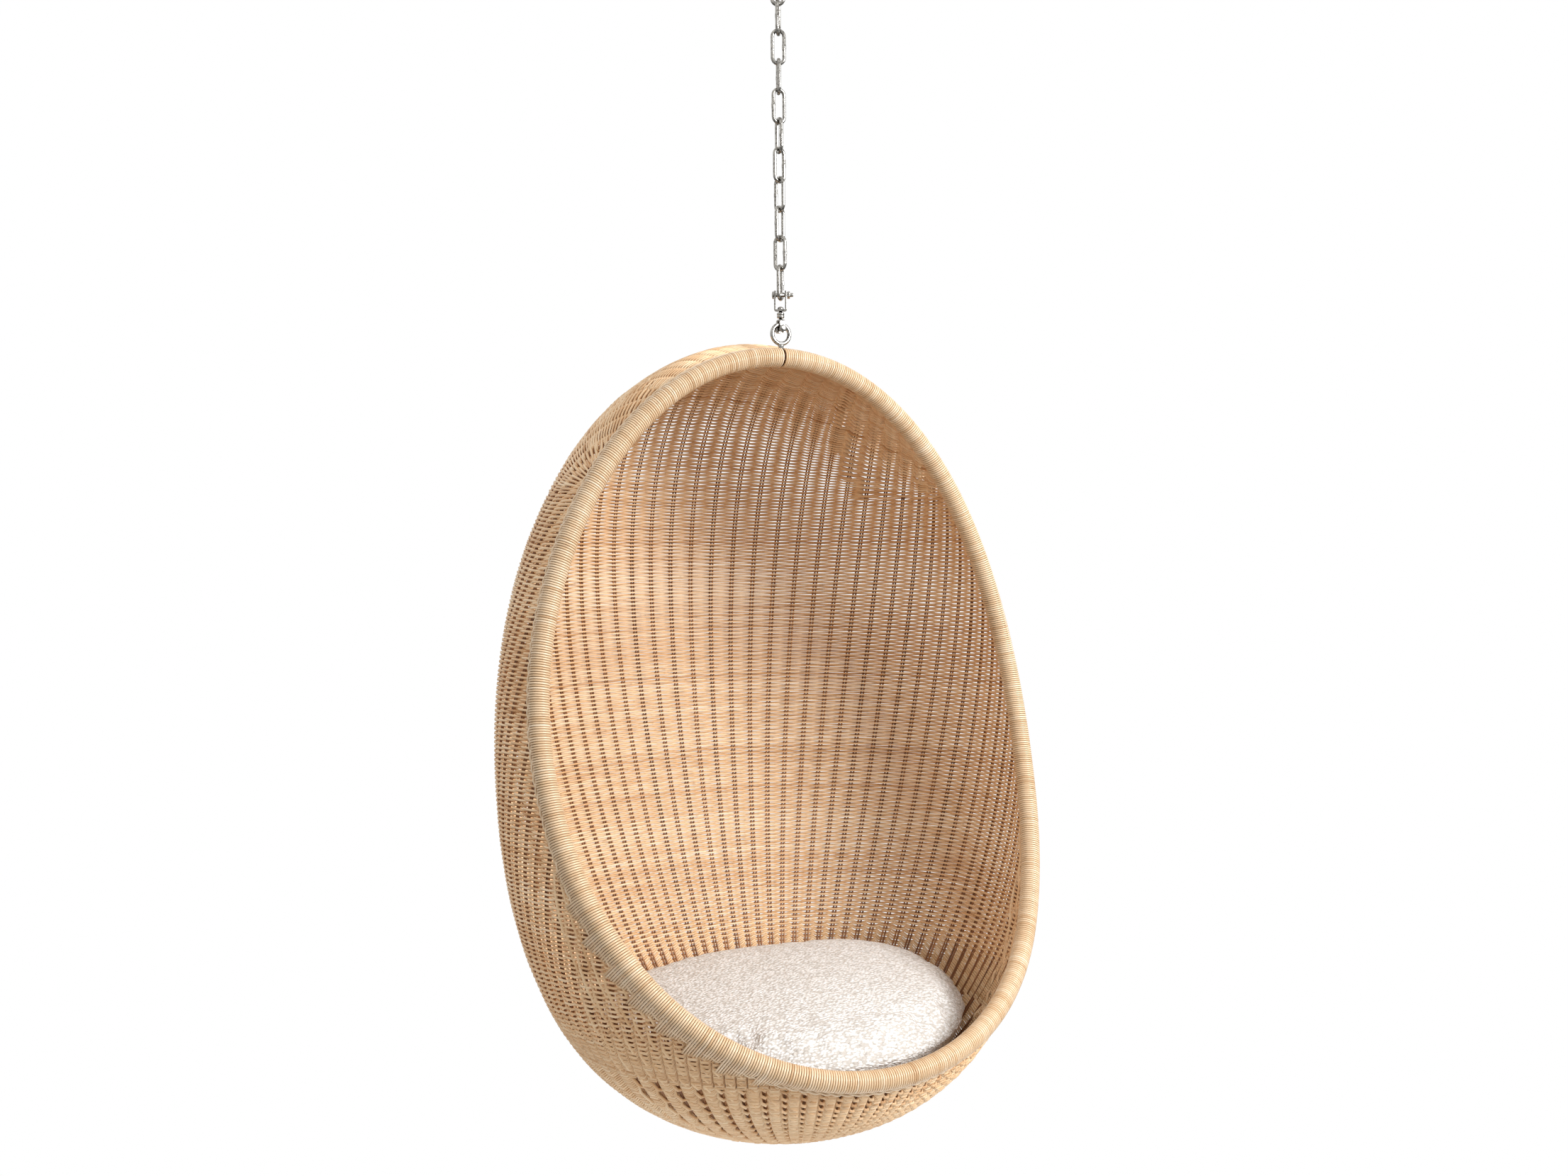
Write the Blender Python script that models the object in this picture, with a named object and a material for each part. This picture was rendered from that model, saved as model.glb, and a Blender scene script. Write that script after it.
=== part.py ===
"""Hanging egg chair: a woven cane shell on a bent rim pole, a seat cushion, and the chain that holds them up.

Metres, +Z up. The origin is the middle of the ceiling plate's top face, and the chair's open front faces -Y.
Run it with blender --background --python part.py, or from Blender's text editor.
"""

import math

import bmesh
import bpy
from mathutils import Matrix, Vector

# ---- ceiling fitting ----
PLATE_R = 0.040
PLATE_THICK = 0.006
PLATE_HOLE_R = 0.0028
PLATE_HOLE_CIRCLE_R = 0.029
PLATE_HOLES = 4
CEILING_EYE_R = 0.012  # to the middle of its wire
CEILING_EYE_WIRE = 0.007
CEILING_EYE_NECK = 0.003
CEILING_SHANK_R = 0.004

# ---- chain ----
LINKS = 11
LINK_INSIDE = 0.0437
LINK_WIDTH = 0.0233
LINK_WIRE = 0.0055
FIRST_LINK_YAW = -216.0  # degrees
LINK_TURN = 98.0  # from one link to the next: a right angle and a slow twist
LINK_SLACK_TURN = 9.0  # what every second link falls short of that

# ---- swivel: two jaws, each on its own pin, and the post that joins them ----
UPPER_YAW = -28.0
JAW_WALL = 0.0026
JAW_DEPTH = 0.0085
UPPER_JAW_INSIDE = 0.0140
UPPER_JAW_DROP = 0.0222  # from the pin to the upper face of the floor of the jaw
LOWER_JAW_INSIDE = 0.0086
LOWER_JAW_RISE = 0.0118
JAW_FLOOR = 0.0036
JAW_NOSE = 0.0062  # how far a leg runs past its pin
COLLAR_R = 0.0056
COLLAR_HEIGHT = 0.0082
POST_R = 0.0026
POST_HEAD_R = 0.0045
POST_HEAD_HEIGHT = 0.0050
PIN_R = 0.0030
PIN_HEAD_R = 0.0056
PIN_HEAD = 0.0030
PIN_TAIL = 0.0046  # of thread past the nut
NUT_ACROSS = 0.0098
NUT_HEIGHT = 0.0042

# ---- screw eye in the rim ----
EYE_R = 0.0143
EYE_WIRE = 0.0064
EYE_TO_RIM = 0.0350  # from the middle of the eye to the middle of the rim pole
EYE_SHANK_R = 0.0040
EYE_SHANK_IN_POLE = 0.0080

# ---- egg: the woven body, before its open front is cut ----
EGG_HEIGHT = 1.178
EGG_ABOVE_RIM = 0.030  # how far its crown stands over the middle of the rim pole
EGG_HALF_WIDTH = 0.416
EGG_BACK = 0.352
EGG_FRONT = 0.370
EGG_FOOT_Y = 0.023
WIDEST = 0.46  # these three are shares of the height
DEEPEST_BACK = 0.65
DEEPEST_FRONT = 0.261
WIDTH_CURVES = (2.34, 2.00)  # superellipse powers, below and above the widest level
BACK_CURVES = (1.75, 2.30)
FRONT_CURVES = (2.13, 1.92)
SHELL_THICK = 0.0021  # a skin of the same weight as the open weave of peeled cane
SHELL_BANDS = ("foot", "waist", "crown")
SHELL_CUTS_Z = (0.300, 0.700)  # heights over the foot where one band meets the next
SHELL_COLUMNS = ("right", "back_right", "back_left", "left")  # as the sitter has them
SHELL_CUT_X = 0.210

# ---- rim ----
RIM_REACH = 0.311  # how far the rim has swept forward, one RIM_REACH_DROP below its top
RIM_REACH_DROP = 1.000
RIM_SWEEP = 3.14
POLE_R = 0.0118
BINDING_THICK = 0.0023
BORDER_R = 0.0030
BORDER_OUT = 0.0060  # over the egg's surface
BORDER_BACK = 0.0215  # behind the middle of the rim pole

# ---- seat cushion ----
CUSHION_THICK = 0.120
CUSHION_TOP_ABOVE_FOOT = 0.230
CUSHION_EDGE_CURVE = 2.5
CUSHION_LEAN = 0.07  # rise per metre towards the back
COVER_THICK = 0.0030
ZIP_LENGTH = 0.260
ZIP_WIDTH = 0.0060
ZIP_THICK = 0.0022

# ---- clearances and facets ----
TOUCH = 0.0003
CUSHION_CLEAR = 0.0150
RIM_STEPS, TUBE_SIDES = 72, 8
EGG_RINGS, EGG_SIDES = 26, 44
BEND_STEPS = 6
ROUND_SIDES = 20

# ---- what follows from them ----
BINDING_R = POLE_R + TOUCH + BINDING_THICK
LINK_PITCH = LINK_INSIDE - TOUCH
BEND_R = (LINK_WIDTH - LINK_WIRE) / 2
CEILING_EYE_Z = -PLATE_THICK - CEILING_EYE_NECK - CEILING_EYE_WIRE / 2 - CEILING_EYE_R
FIRST_LINK_Z = (
    CEILING_EYE_Z - CEILING_EYE_R + CEILING_EYE_WIRE / 2 + TOUCH - LINK_INSIDE / 2
)
UPPER_PIN_Z = FIRST_LINK_Z - (LINKS - 1) * LINK_PITCH - LINK_INSIDE / 2 + PIN_R + TOUCH
UPPER_FLOOR_Z = UPPER_PIN_Z - UPPER_JAW_DROP
COLLAR_TOP_Z = UPPER_FLOOR_Z - JAW_FLOOR - TOUCH
LOWER_FLOOR_Z = COLLAR_TOP_Z - COLLAR_HEIGHT - TOUCH - JAW_FLOOR
LOWER_PIN_Z = LOWER_FLOOR_Z - LOWER_JAW_RISE
EYE_Z = LOWER_PIN_Z - EYE_R + EYE_WIRE / 2 + PIN_R + TOUCH
RIM_TOP_Z = EYE_Z - EYE_TO_RIM
EGG_TOP_Z = RIM_TOP_Z + EGG_ABOVE_RIM
EGG_FOOT_Z = EGG_TOP_Z - EGG_HEIGHT


# ---- small tools ----
def clear_scene():
    """Removes what the file starts with."""
    for obj in list(bpy.data.objects):
        bpy.data.objects.remove(obj, do_unlink=True)


def finish_material(name, colour, roughness, metallic=0.0):
    """A Principled BSDF material."""
    mat = bpy.data.materials.new(name)
    mat.use_nodes = True
    shader = mat.node_tree.nodes["Principled BSDF"]
    shader.inputs["Base Color"].default_value = (*colour, 1.0)
    shader.inputs["Roughness"].default_value = roughness
    shader.inputs["Metallic"].default_value = metallic
    return mat


def object_of(name, bm, smooth=True):
    """Turns a bmesh into an object with its normals facing out."""
    bmesh.ops.recalc_face_normals(bm, faces=bm.faces[:])
    mesh = bpy.data.meshes.new(name)
    bm.to_mesh(mesh)
    bm.free()
    if smooth:
        mesh.shade_smooth()
    obj = bpy.data.objects.new(name, mesh)
    bpy.context.scene.collection.objects.link(obj)
    return obj


def dress(obj, colour, roughness, metallic=0.0):
    """Gives an object a material of its own."""
    obj.data.materials.clear()
    obj.data.materials.append(finish_material(obj.name, colour, roughness, metallic))
    return obj


def steel(obj):
    """Polished stainless steel."""
    return dress(obj, (0.62, 0.62, 0.61), 0.18, 1.0)


def combine(target, others, operation):
    """Applies one exact Boolean after another and removes the tools."""
    for other in others:
        step = target.modifiers.new(operation, "BOOLEAN")
        step.operation, step.solver, step.object = operation, "EXACT", other
        graph = bpy.context.evaluated_depsgraph_get()
        made = bpy.data.meshes.new_from_object(target.evaluated_get(graph))
        target.modifiers.clear()
        target.data = made
        bpy.data.objects.remove(other, do_unlink=True)
    return target


def tube(name, points, radius, sides, closed=True, side=None):
    """A round bar along points. side, if given, is a direction that every ring's first corner keeps to."""
    bm, rings, count = bmesh.new(), [], len(points)
    for i, here in enumerate(points):
        before = points[(i - 1) % count] if closed or i else here
        after = points[(i + 1) % count] if closed or i < count - 1 else here
        along = (after - before).normalized()
        across = (side - side.dot(along) * along).normalized()
        up = along.cross(across)
        turns = [2 * math.pi * (k + 0.5) / sides for k in range(sides)]
        ring = [
            bm.verts.new(here + radius * (math.cos(a) * across + math.sin(a) * up))
            for a in turns
        ]
        rings.append(ring)
    pairs = zip(rings, rings[1:] + rings[:1]) if closed else zip(rings, rings[1:])
    for one, two in pairs:
        for k in range(sides):
            m = (k + 1) % sides
            bm.faces.new((one[k], one[m], two[m], two[k]))
    if not closed:
        bm.faces.new(rings[0])
        bm.faces.new(rings[-1])
    return object_of(name, bm)


def turned(name, outline, sides=ROUND_SIDES):
    """Spins an (r, z) outline, which starts and ends on the axis, about Z."""
    bm = bmesh.new()
    verts = [bm.verts.new((r, 0.0, z)) for r, z in outline]
    edges = [bm.edges.new(pair) for pair in zip(verts, verts[1:])]
    bmesh.ops.spin(
        bm, geom=verts + edges, cent=(0, 0, 0), axis=(0, 0, 1),
        angle=2 * math.pi, steps=sides, use_merge=True,
    )
    bmesh.ops.remove_doubles(bm, verts=bm.verts[:], dist=1e-6)
    return object_of(name, bm)


def rod(name, radius, low, high, sides=ROUND_SIDES):
    """A cylinder along Z."""
    return turned(name, [(0, low), (radius, low), (radius, high), (0, high)], sides)


def block(name, low, high):
    """A box between two corners."""
    bm = bmesh.new()
    bmesh.ops.create_cube(bm, size=1.0)
    size = Vector(high) - Vector(low)
    for v in bm.verts:
        v.co = Vector([v.co[i] * size[i] + (low[i] + high[i]) / 2 for i in range(3)])
    return object_of(name, bm, smooth=False)


def place(obj, matrix):
    """Moves an object's mesh, so that its origin stays at the world's."""
    obj.data.transform(matrix)
    return obj


def lying(yaw, z):
    """Turns a piece made along Z to lie level, its +Z pointing to yaw, at a height."""
    return (
        Matrix.Translation((0, 0, z))
        @ Matrix.Rotation(math.radians(yaw), 4, "Z")
        @ Matrix.Rotation(math.pi / 2, 4, "Y")
    )


def ring_points(radius, steps):
    """A circle of points in the XZ plane, round the origin."""
    return [
        Vector((radius * math.cos(a), 0, radius * math.sin(a)))
        for a in (2 * math.pi * i / steps for i in range(steps))
    ]


# ---- ceiling fitting and chain ----
def build_ceiling_plate():
    """A disc with four screw holes and a threaded middle."""
    plate = turned(
        "ceiling_plate",
        [(0, -PLATE_THICK), (PLATE_R - 0.001, -PLATE_THICK), (PLATE_R, -PLATE_THICK + 0.001),
         (PLATE_R, 0), (0, 0)],
        36,
    )
    holes = [rod("hole", CEILING_SHANK_R + TOUCH, -2 * PLATE_THICK, -0.0015, 16)]
    for i in range(PLATE_HOLES):
        hole = rod("hole", PLATE_HOLE_R, -2 * PLATE_THICK, PLATE_THICK, 12)
        turn = Matrix.Rotation(math.radians(45) + 2 * math.pi * i / PLATE_HOLES, 4, "Z")
        holes.append(place(hole, turn @ Matrix.Translation((PLATE_HOLE_CIRCLE_R, 0, 0))))
    return steel(combine(plate, holes, "DIFFERENCE"))


def link_yaw(i):
    """Degrees that link i's flat is turned from the XZ plane."""
    return FIRST_LINK_YAW + i * LINK_TURN - (LINK_SLACK_TURN if i % 2 else 0.0)


def build_ceiling_eye():
    """A ring across the first link, on a shank in the plate."""
    eye = tube("ceiling_eye", ring_points(CEILING_EYE_R, 24), CEILING_EYE_WIRE / 2, 10,
               side=Vector((0, 1, 0)))
    place(eye, Matrix.Translation((0, 0, CEILING_EYE_Z)))
    low = CEILING_EYE_Z + CEILING_EYE_R
    shank = turned("shank", [
        (0, low), (CEILING_EYE_WIRE / 2, low), (CEILING_EYE_WIRE * 0.8, -PLATE_THICK - TOUCH),
        (CEILING_SHANK_R, -PLATE_THICK - TOUCH), (CEILING_SHANK_R, -0.0015 - TOUCH),
        (0, -0.0015 - TOUCH)], 16)
    combine(eye, [shank], "UNION")
    return steel(place(eye, Matrix.Rotation(math.radians(link_yaw(0) + 90), 4, "Z")))


def build_link(i):
    """One long link of round wire."""
    straight = (LINK_INSIDE + LINK_WIRE) / 2 - BEND_R
    points = []
    for end, start in ((1, 0.0), (-1, math.pi)):
        for k in range(BEND_STEPS + 1):
            a = start + math.pi * k / BEND_STEPS
            points.append(Vector((BEND_R * math.cos(a), 0, end * straight + BEND_R * math.sin(a))))
    link = tube(f"chain_link_{i + 1:02d}", points, LINK_WIRE / 2, 8, side=Vector((0, 1, 0)))
    turn = Matrix.Rotation(math.radians(link_yaw(i)), 4, "Z")
    place(link, Matrix.Translation((0, 0, FIRST_LINK_Z - i * LINK_PITCH)) @ turn)
    return steel(link)


# ---- swivel ----
def build_jaw(name, inside, reach, floor_z, pin_z, yaw, post_clear):
    """A fork: a floor with the post's hole, and two legs with the pin's. reach is +1 for legs up, -1 down."""
    half = inside / 2 + JAW_WALL
    tip = pin_z + reach * JAW_NOSE
    base = floor_z - JAW_FLOOR if reach > 0 else floor_z + JAW_FLOOR
    jaw = block(name, (-half, -JAW_DEPTH / 2, min(base, tip)), (half, JAW_DEPTH / 2, max(base, tip)))
    slot = block("slot", (-inside / 2, -JAW_DEPTH, min(floor_z, tip + reach * 0.01)),
                 (inside / 2, JAW_DEPTH, max(floor_z, tip + reach * 0.01)))
    post = rod("hole", POST_R + post_clear, base - 0.01, base + 0.01, 16)
    pin = place(rod("hole", PIN_R + TOUCH, -2 * half, 2 * half, 16),
                Matrix.Translation((0, 0, pin_z)) @ Matrix.Rotation(math.pi / 2, 4, "Y"))
    combine(jaw, [slot, post, pin], "DIFFERENCE")
    return steel(place(jaw, Matrix.Rotation(math.radians(yaw), 4, "Z")))


def build_pin(name, inside, yaw, z):
    """A headed, threaded cross pin. Its head is at the -Z end before it is laid down."""
    half = inside / 2 + JAW_WALL + TOUCH
    tail = half + NUT_HEIGHT + TOUCH + PIN_TAIL
    pin = turned(name, [
        (0, -half - PIN_HEAD), (PIN_HEAD_R - 0.0008, -half - PIN_HEAD),
        (PIN_HEAD_R, -half - PIN_HEAD + 0.0008), (PIN_HEAD_R, -half), (PIN_R, -half),
        (PIN_R, tail - 0.0006), (PIN_R - 0.0006, tail), (0, tail)], 16)
    return steel(place(pin, lying(yaw, z)))


def build_nut(name, inside, yaw, z):
    """A hexagon nut on the tail of a pin."""
    low = inside / 2 + JAW_WALL + TOUCH
    nut = rod(name, NUT_ACROSS / math.sqrt(3), low, low + NUT_HEIGHT, 6)
    nut.data.shade_flat()
    combine(nut, [rod("hole", PIN_R + TOUCH, 0, 2 * (low + NUT_HEIGHT), 16)], "DIFFERENCE")
    return steel(place(nut, lying(yaw, z)))


def build_post():
    """The headed post, which turns in the upper jaw and is fast in the lower one."""
    head = UPPER_FLOOR_Z + TOUCH
    return steel(turned("swivel_post", [
        (0, LOWER_FLOOR_Z), (POST_R, LOWER_FLOOR_Z), (POST_R, head), (POST_HEAD_R, head),
        (POST_HEAD_R, head + POST_HEAD_HEIGHT - 0.0012),
        (POST_HEAD_R - 0.0012, head + POST_HEAD_HEIGHT), (0, head + POST_HEAD_HEIGHT)], 16))


def build_collar():
    """The thrust collar between the two jaws."""
    low = COLLAR_TOP_Z - COLLAR_HEIGHT
    collar = turned("swivel_collar", [
        (0, low), (COLLAR_R - 0.001, low), (COLLAR_R, low + 0.001),
        (COLLAR_R, COLLAR_TOP_Z - 0.001), (COLLAR_R - 0.001, COLLAR_TOP_Z), (0, COLLAR_TOP_Z)])
    bore = rod("hole", POST_R + TOUCH, low - 0.01, COLLAR_TOP_Z + 0.01, 16)
    return steel(combine(collar, [bore], "DIFFERENCE"))


def build_screw_eye():
    """The ring that the lower pin holds, its tapering neck, and the shank in the rim pole."""
    eye = tube("screw_eye", ring_points(EYE_R, 28), EYE_WIRE / 2, 10, side=Vector((0, 1, 0)))
    place(eye, Matrix.Translation((0, 0, EYE_Z)))
    neck_top, neck_low = EYE_Z - EYE_R, RIM_TOP_Z + BINDING_R + TOUCH
    foot = RIM_TOP_Z + POLE_R - EYE_SHANK_IN_POLE - BINDING_THICK
    shank = turned("shank", [
        (0, foot), (EYE_SHANK_R - 0.001, foot), (EYE_SHANK_R, foot + 0.001),
        (EYE_SHANK_R, neck_low), (EYE_WIRE / 2 + 0.0012, neck_top), (0, neck_top)], 16)
    return steel(combine(eye, [shank], "UNION"))


# ---- egg and rim ----
def swell(t, level, powers):
    """How wide a superellipse pair is at height share t, from 0 at either end to 1 at its level."""
    away = (level - t) / level if t < level else (t - level) / (1 - level)
    power = powers[0] if t < level else powers[1]
    return max(0.0, 1 - min(1.0, max(0.0, away)) ** power) ** (1 / power)


def rim_y(z):
    """How far back the rim's surface is at a height."""
    return -RIM_REACH * (max(0.0, RIM_TOP_Z - z) / RIM_REACH_DROP) ** RIM_SWEEP


def crown_y():
    """Where the egg's crown has to be for its front to pass through the top of the rim."""
    t = 1 - EGG_ABOVE_RIM / EGG_HEIGHT
    front = EGG_FRONT * swell(t, DEEPEST_FRONT, FRONT_CURVES)
    return (front - EGG_FOOT_Y * (1 - t)) / t


def section(t):
    """(y of the middle, half width, depth behind it, depth before it) at height share t."""
    middle = EGG_FOOT_Y + (crown_y() - EGG_FOOT_Y) * t
    return (
        middle,
        EGG_HALF_WIDTH * swell(t, WIDEST, WIDTH_CURVES),
        EGG_BACK * swell(t, DEEPEST_BACK, BACK_CURVES),
        EGG_FRONT * swell(t, DEEPEST_FRONT, FRONT_CURVES),
    )


def egg_point(t, angle):
    """A point of the egg's outer face. Angle 0 is +X and a quarter turn is the back."""
    middle, wide, back, front = section(t)
    c, s = math.cos(angle), math.sin(angle)
    return Vector((wide * c, middle + (back if s > 0 else front) * s, EGG_FOOT_Z + EGG_HEIGHT * t))


def rim_half():
    """The rim's centre line from its top, down the +X side, to the lip."""
    def gap(t):
        middle, _, _, front = section(t)
        return rim_y(EGG_FOOT_Z + EGG_HEIGHT * t) - (middle - front)

    low, high = 0.02, DEEPEST_FRONT
    for _ in range(60):
        half = (low + high) / 2
        low, high = (half, high) if gap(half) < 0 else (low, half)
    top, lip, count, points = 1 - EGG_ABOVE_RIM / EGG_HEIGHT, high, 400, []
    for i in range(count + 1):
        t = lip + (top - lip) * (1 + math.cos(math.pi * i / count)) / 2
        middle, wide, back, front = section(t)
        z = EGG_FOOT_Z + EGG_HEIGHT * t
        off = rim_y(z) - middle
        share = off / (front if off < 0 else back)
        points.append(Vector((wide * math.sqrt(max(0.0, 1 - share * share)), rim_y(z), z)))
    points[0].x = points[-1].x = 0.0
    return points


def spaced(points, count):
    """The same line at even steps, ends included."""
    runs = [0.0]
    for a, b in zip(points, points[1:]):
        runs.append(runs[-1] + (b - a).length)
    found, k = [], 0
    for i in range(count + 1):
        want = runs[-1] * i / count
        while k < len(runs) - 2 and runs[k + 1] < want:
            k += 1
        found.append(points[k].lerp(points[k + 1], (want - runs[k]) / (runs[k + 1] - runs[k])))
    return found


def rim_line():
    """The whole rim, as an even loop of points, from its top."""
    half = spaced(rim_half(), RIM_STEPS // 2)
    return half + [Vector((-p.x, p.y, p.z)) for p in half[-2:0:-1]]


def egg_solid(name, inset):
    """The whole egg, closed at both ends, shrunk by an inset along its sections."""
    bm, rings = bmesh.new(), []
    low = Vector((0, EGG_FOOT_Y, EGG_FOOT_Z + inset))
    high = Vector((0, crown_y(), EGG_TOP_Z - inset))
    for i in range(1, EGG_RINGS):
        t = (1 - math.cos(math.pi * i / EGG_RINGS)) / 2
        ring = []
        for k in range(EGG_SIDES):
            a, d = 2 * math.pi * k / EGG_SIDES, 1e-4
            here = egg_point(t, a)
            level = egg_point(t, a + d) - egg_point(t, a - d)
            rise = egg_point(min(1 - 1e-9, t + d), a) - egg_point(max(1e-9, t - d), a)
            out = level.cross(rise).normalized()
            ring.append(bm.verts.new(here - inset * out))
        rings.append(ring)
    for one, two in zip(rings, rings[1:]):
        for k in range(EGG_SIDES):
            m = (k + 1) % EGG_SIDES
            bm.faces.new((one[k], one[m], two[m], two[k]))
    for ring, pole in ((rings[0], bm.verts.new(low)), (rings[-1], bm.verts.new(high))):
        for k in range(EGG_SIDES):
            bm.faces.new((ring[k], ring[(k + 1) % EGG_SIDES], pole))
    return object_of(name, bm)


def front_cutter(back_off):
    """Everything before the rim's surface, once that surface is moved back by back_off along its normal."""
    line, steps = [], 40
    top = RIM_TOP_Z + 0.2
    for i in range(steps + 1):
        z = top + (EGG_FOOT_Z - 0.3 - top) * i / steps
        slope = (rim_y(z + 1e-4) - rim_y(z - 1e-4)) / 2e-4
        normal = Vector((0, 1, -slope)).normalized()
        line.append(Vector((0, rim_y(z), z)) + back_off * normal)
    far = -2 * (EGG_FRONT + RIM_REACH)
    line += [Vector((0, far, line[-1].z)), Vector((0, far, line[0].z))]
    bm = bmesh.new()
    face = bm.faces.new([bm.verts.new(p + Vector((-2 * EGG_HALF_WIDTH, 0, 0))) for p in line])
    more = bmesh.ops.extrude_face_region(bm, geom=[face])["geom"]
    moved = [g for g in more if isinstance(g, bmesh.types.BMVert)]
    bmesh.ops.translate(bm, verts=moved, vec=(4 * EGG_HALF_WIDTH, 0, 0))
    return object_of("front", bm, smooth=False)


def build_shell():
    """The woven wall: the egg, hollowed, cut open behind the rim, and parted into panels."""
    shell = egg_solid("shell", 0.0)
    combine(shell, [egg_solid("hollow", SHELL_THICK), front_cutter(BINDING_R + TOUCH)], "DIFFERENCE")
    far, gap = 2 * EGG_HEIGHT, TOUCH / 2
    heights = [-far] + [EGG_FOOT_Z + cut for cut in SHELL_CUTS_Z] + [far]
    widths = [-far, -SHELL_CUT_X, 0.0, SHELL_CUT_X, far]
    for band, low, high in zip(SHELL_BANDS, heights, heights[1:]):
        for column, left, right in zip(SHELL_COLUMNS, widths, widths[1:]):
            panel = bpy.data.objects.new(f"woven_{band}_{column}", shell.data.copy())
            bpy.context.scene.collection.objects.link(panel)
            keep = block("keep", (left + gap, -far, low + gap), (right - gap, far, high - gap))
            dress(combine(panel, [keep], "INTERSECT"), (0.60, 0.38, 0.20), 0.55)
    bpy.data.objects.remove(shell, do_unlink=True)


def build_rim():
    """The bent pole, its binding and the twisted border behind them."""
    line, side = rim_line(), Vector((0, 1, 0))
    hole_low = RIM_TOP_Z + POLE_R - EYE_SHANK_IN_POLE - BINDING_THICK - TOUCH

    def eye_hole():
        return rod("hole", EYE_SHANK_R + TOUCH, hole_low, EYE_Z, 16)

    pole = tube("rim_pole", line, POLE_R, TUBE_SIDES, side=side)
    combine(pole, [eye_hole()], "DIFFERENCE")
    binding = tube("rim_binding", line, BINDING_R, TUBE_SIDES, side=side)
    core = tube("core", line, POLE_R + TOUCH, TUBE_SIDES, side=side)
    combine(binding, [core, eye_hole()], "DIFFERENCE")
    dress(pole, (0.55, 0.36, 0.19), 0.5)
    dress(binding, (0.80, 0.58, 0.34), 0.35)
    build_border(line)


def build_border(line):
    """A cord of twisted strands that lies on the shell along the rim."""
    points, count = [], len(line)
    for i, p in enumerate(line):
        along = (line[(i + 1) % count] - line[i - 1]).normalized()
        slope = (rim_y(p.z + 1e-4) - rim_y(p.z - 1e-4)) / 2e-4
        back = Vector((0, 1, -slope)).normalized()
        out = along.cross(back).normalized()
        if out.dot(p - Vector((0, p.y, EGG_FOOT_Z + EGG_HEIGHT / 2))) < 0:
            out = -out
        points.append(on_egg(p + BORDER_BACK * back, out) + BORDER_OUT * out)
    border = tube("rim_border", points, BORDER_R, 6, side=Vector((0, 1, 0)))
    return dress(border, (0.72, 0.50, 0.29), 0.45)


def on_egg(point, out):
    """Moves a point along out until it is on the egg's outer face."""
    low, high = -0.06, 0.06
    for _ in range(40):
        mid = (low + high) / 2
        q = point + mid * out
        t = min(1 - 1e-9, max(1e-9, (q.z - EGG_FOOT_Z) / EGG_HEIGHT))
        middle, wide, back, front = section(t)
        off = q.y - middle
        inside = (q.x / wide) ** 2 + (off / (back if off > 0 else front)) ** 2 < 1
        inside = inside and EGG_FOOT_Z < q.z < EGG_TOP_Z
        low, high = (mid, high) if inside else (low, mid)
    return point + low * out


# ---- cushion ----
def cushion_solid(name, inset):
    """The rounded cushion, held clear of the shell's inner face, shrunk by an inset."""
    half = CUSHION_THICK / 2
    mid_z = EGG_FOOT_Z + CUSHION_TOP_ABOVE_FOOT - half
    clear = SHELL_THICK + CUSHION_CLEAR
    middle, wide, back, front = section((mid_z - EGG_FOOT_Z) / EGG_HEIGHT)
    plan, rings, steps, sides = (wide - clear, back - clear, front - clear), [], 12, 32
    bm = bmesh.new()

    def corner(s, angle, grow):
        c, d = math.cos(angle), math.sin(angle)
        x, y = plan[0] * grow * c, (plan[1] if d > 0 else plan[2]) * grow * d
        z = mid_z + (half - inset) * s + CUSHION_LEAN * y
        t = (z - EGG_FOOT_Z) / EGG_HEIGHT
        _, w, b, f = section(t)
        most = (w - 1.6 * clear, b - 1.6 * clear, f - 1.6 * clear)
        reach = math.hypot(x / most[0], y / (most[1] if d > 0 else most[2]))
        if reach > 1:
            x, y = x / reach, y / reach
        length = math.hypot(x, y)
        keep = max(0.0, length - inset) / length
        return bm.verts.new((x * keep, middle + y * keep, z))

    for i in range(1, steps):
        s = -math.cos(math.pi * i / steps)
        grow = (1 - abs(s) ** CUSHION_EDGE_CURVE) ** (1 / CUSHION_EDGE_CURVE)
        rings.append([corner(s, 2 * math.pi * k / sides, grow) for k in range(sides)])
    for one, two in zip(rings, rings[1:]):
        for k in range(sides):
            m = (k + 1) % sides
            bm.faces.new((one[k], one[m], two[m], two[k]))
    for ring, s in ((rings[0], -1), (rings[-1], 1)):
        pole = bm.verts.new((0, middle, mid_z + (half - inset) * s))
        for k in range(sides):
            bm.faces.new((ring[k], ring[(k + 1) % sides], pole))
    return object_of(name, bm)


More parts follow.
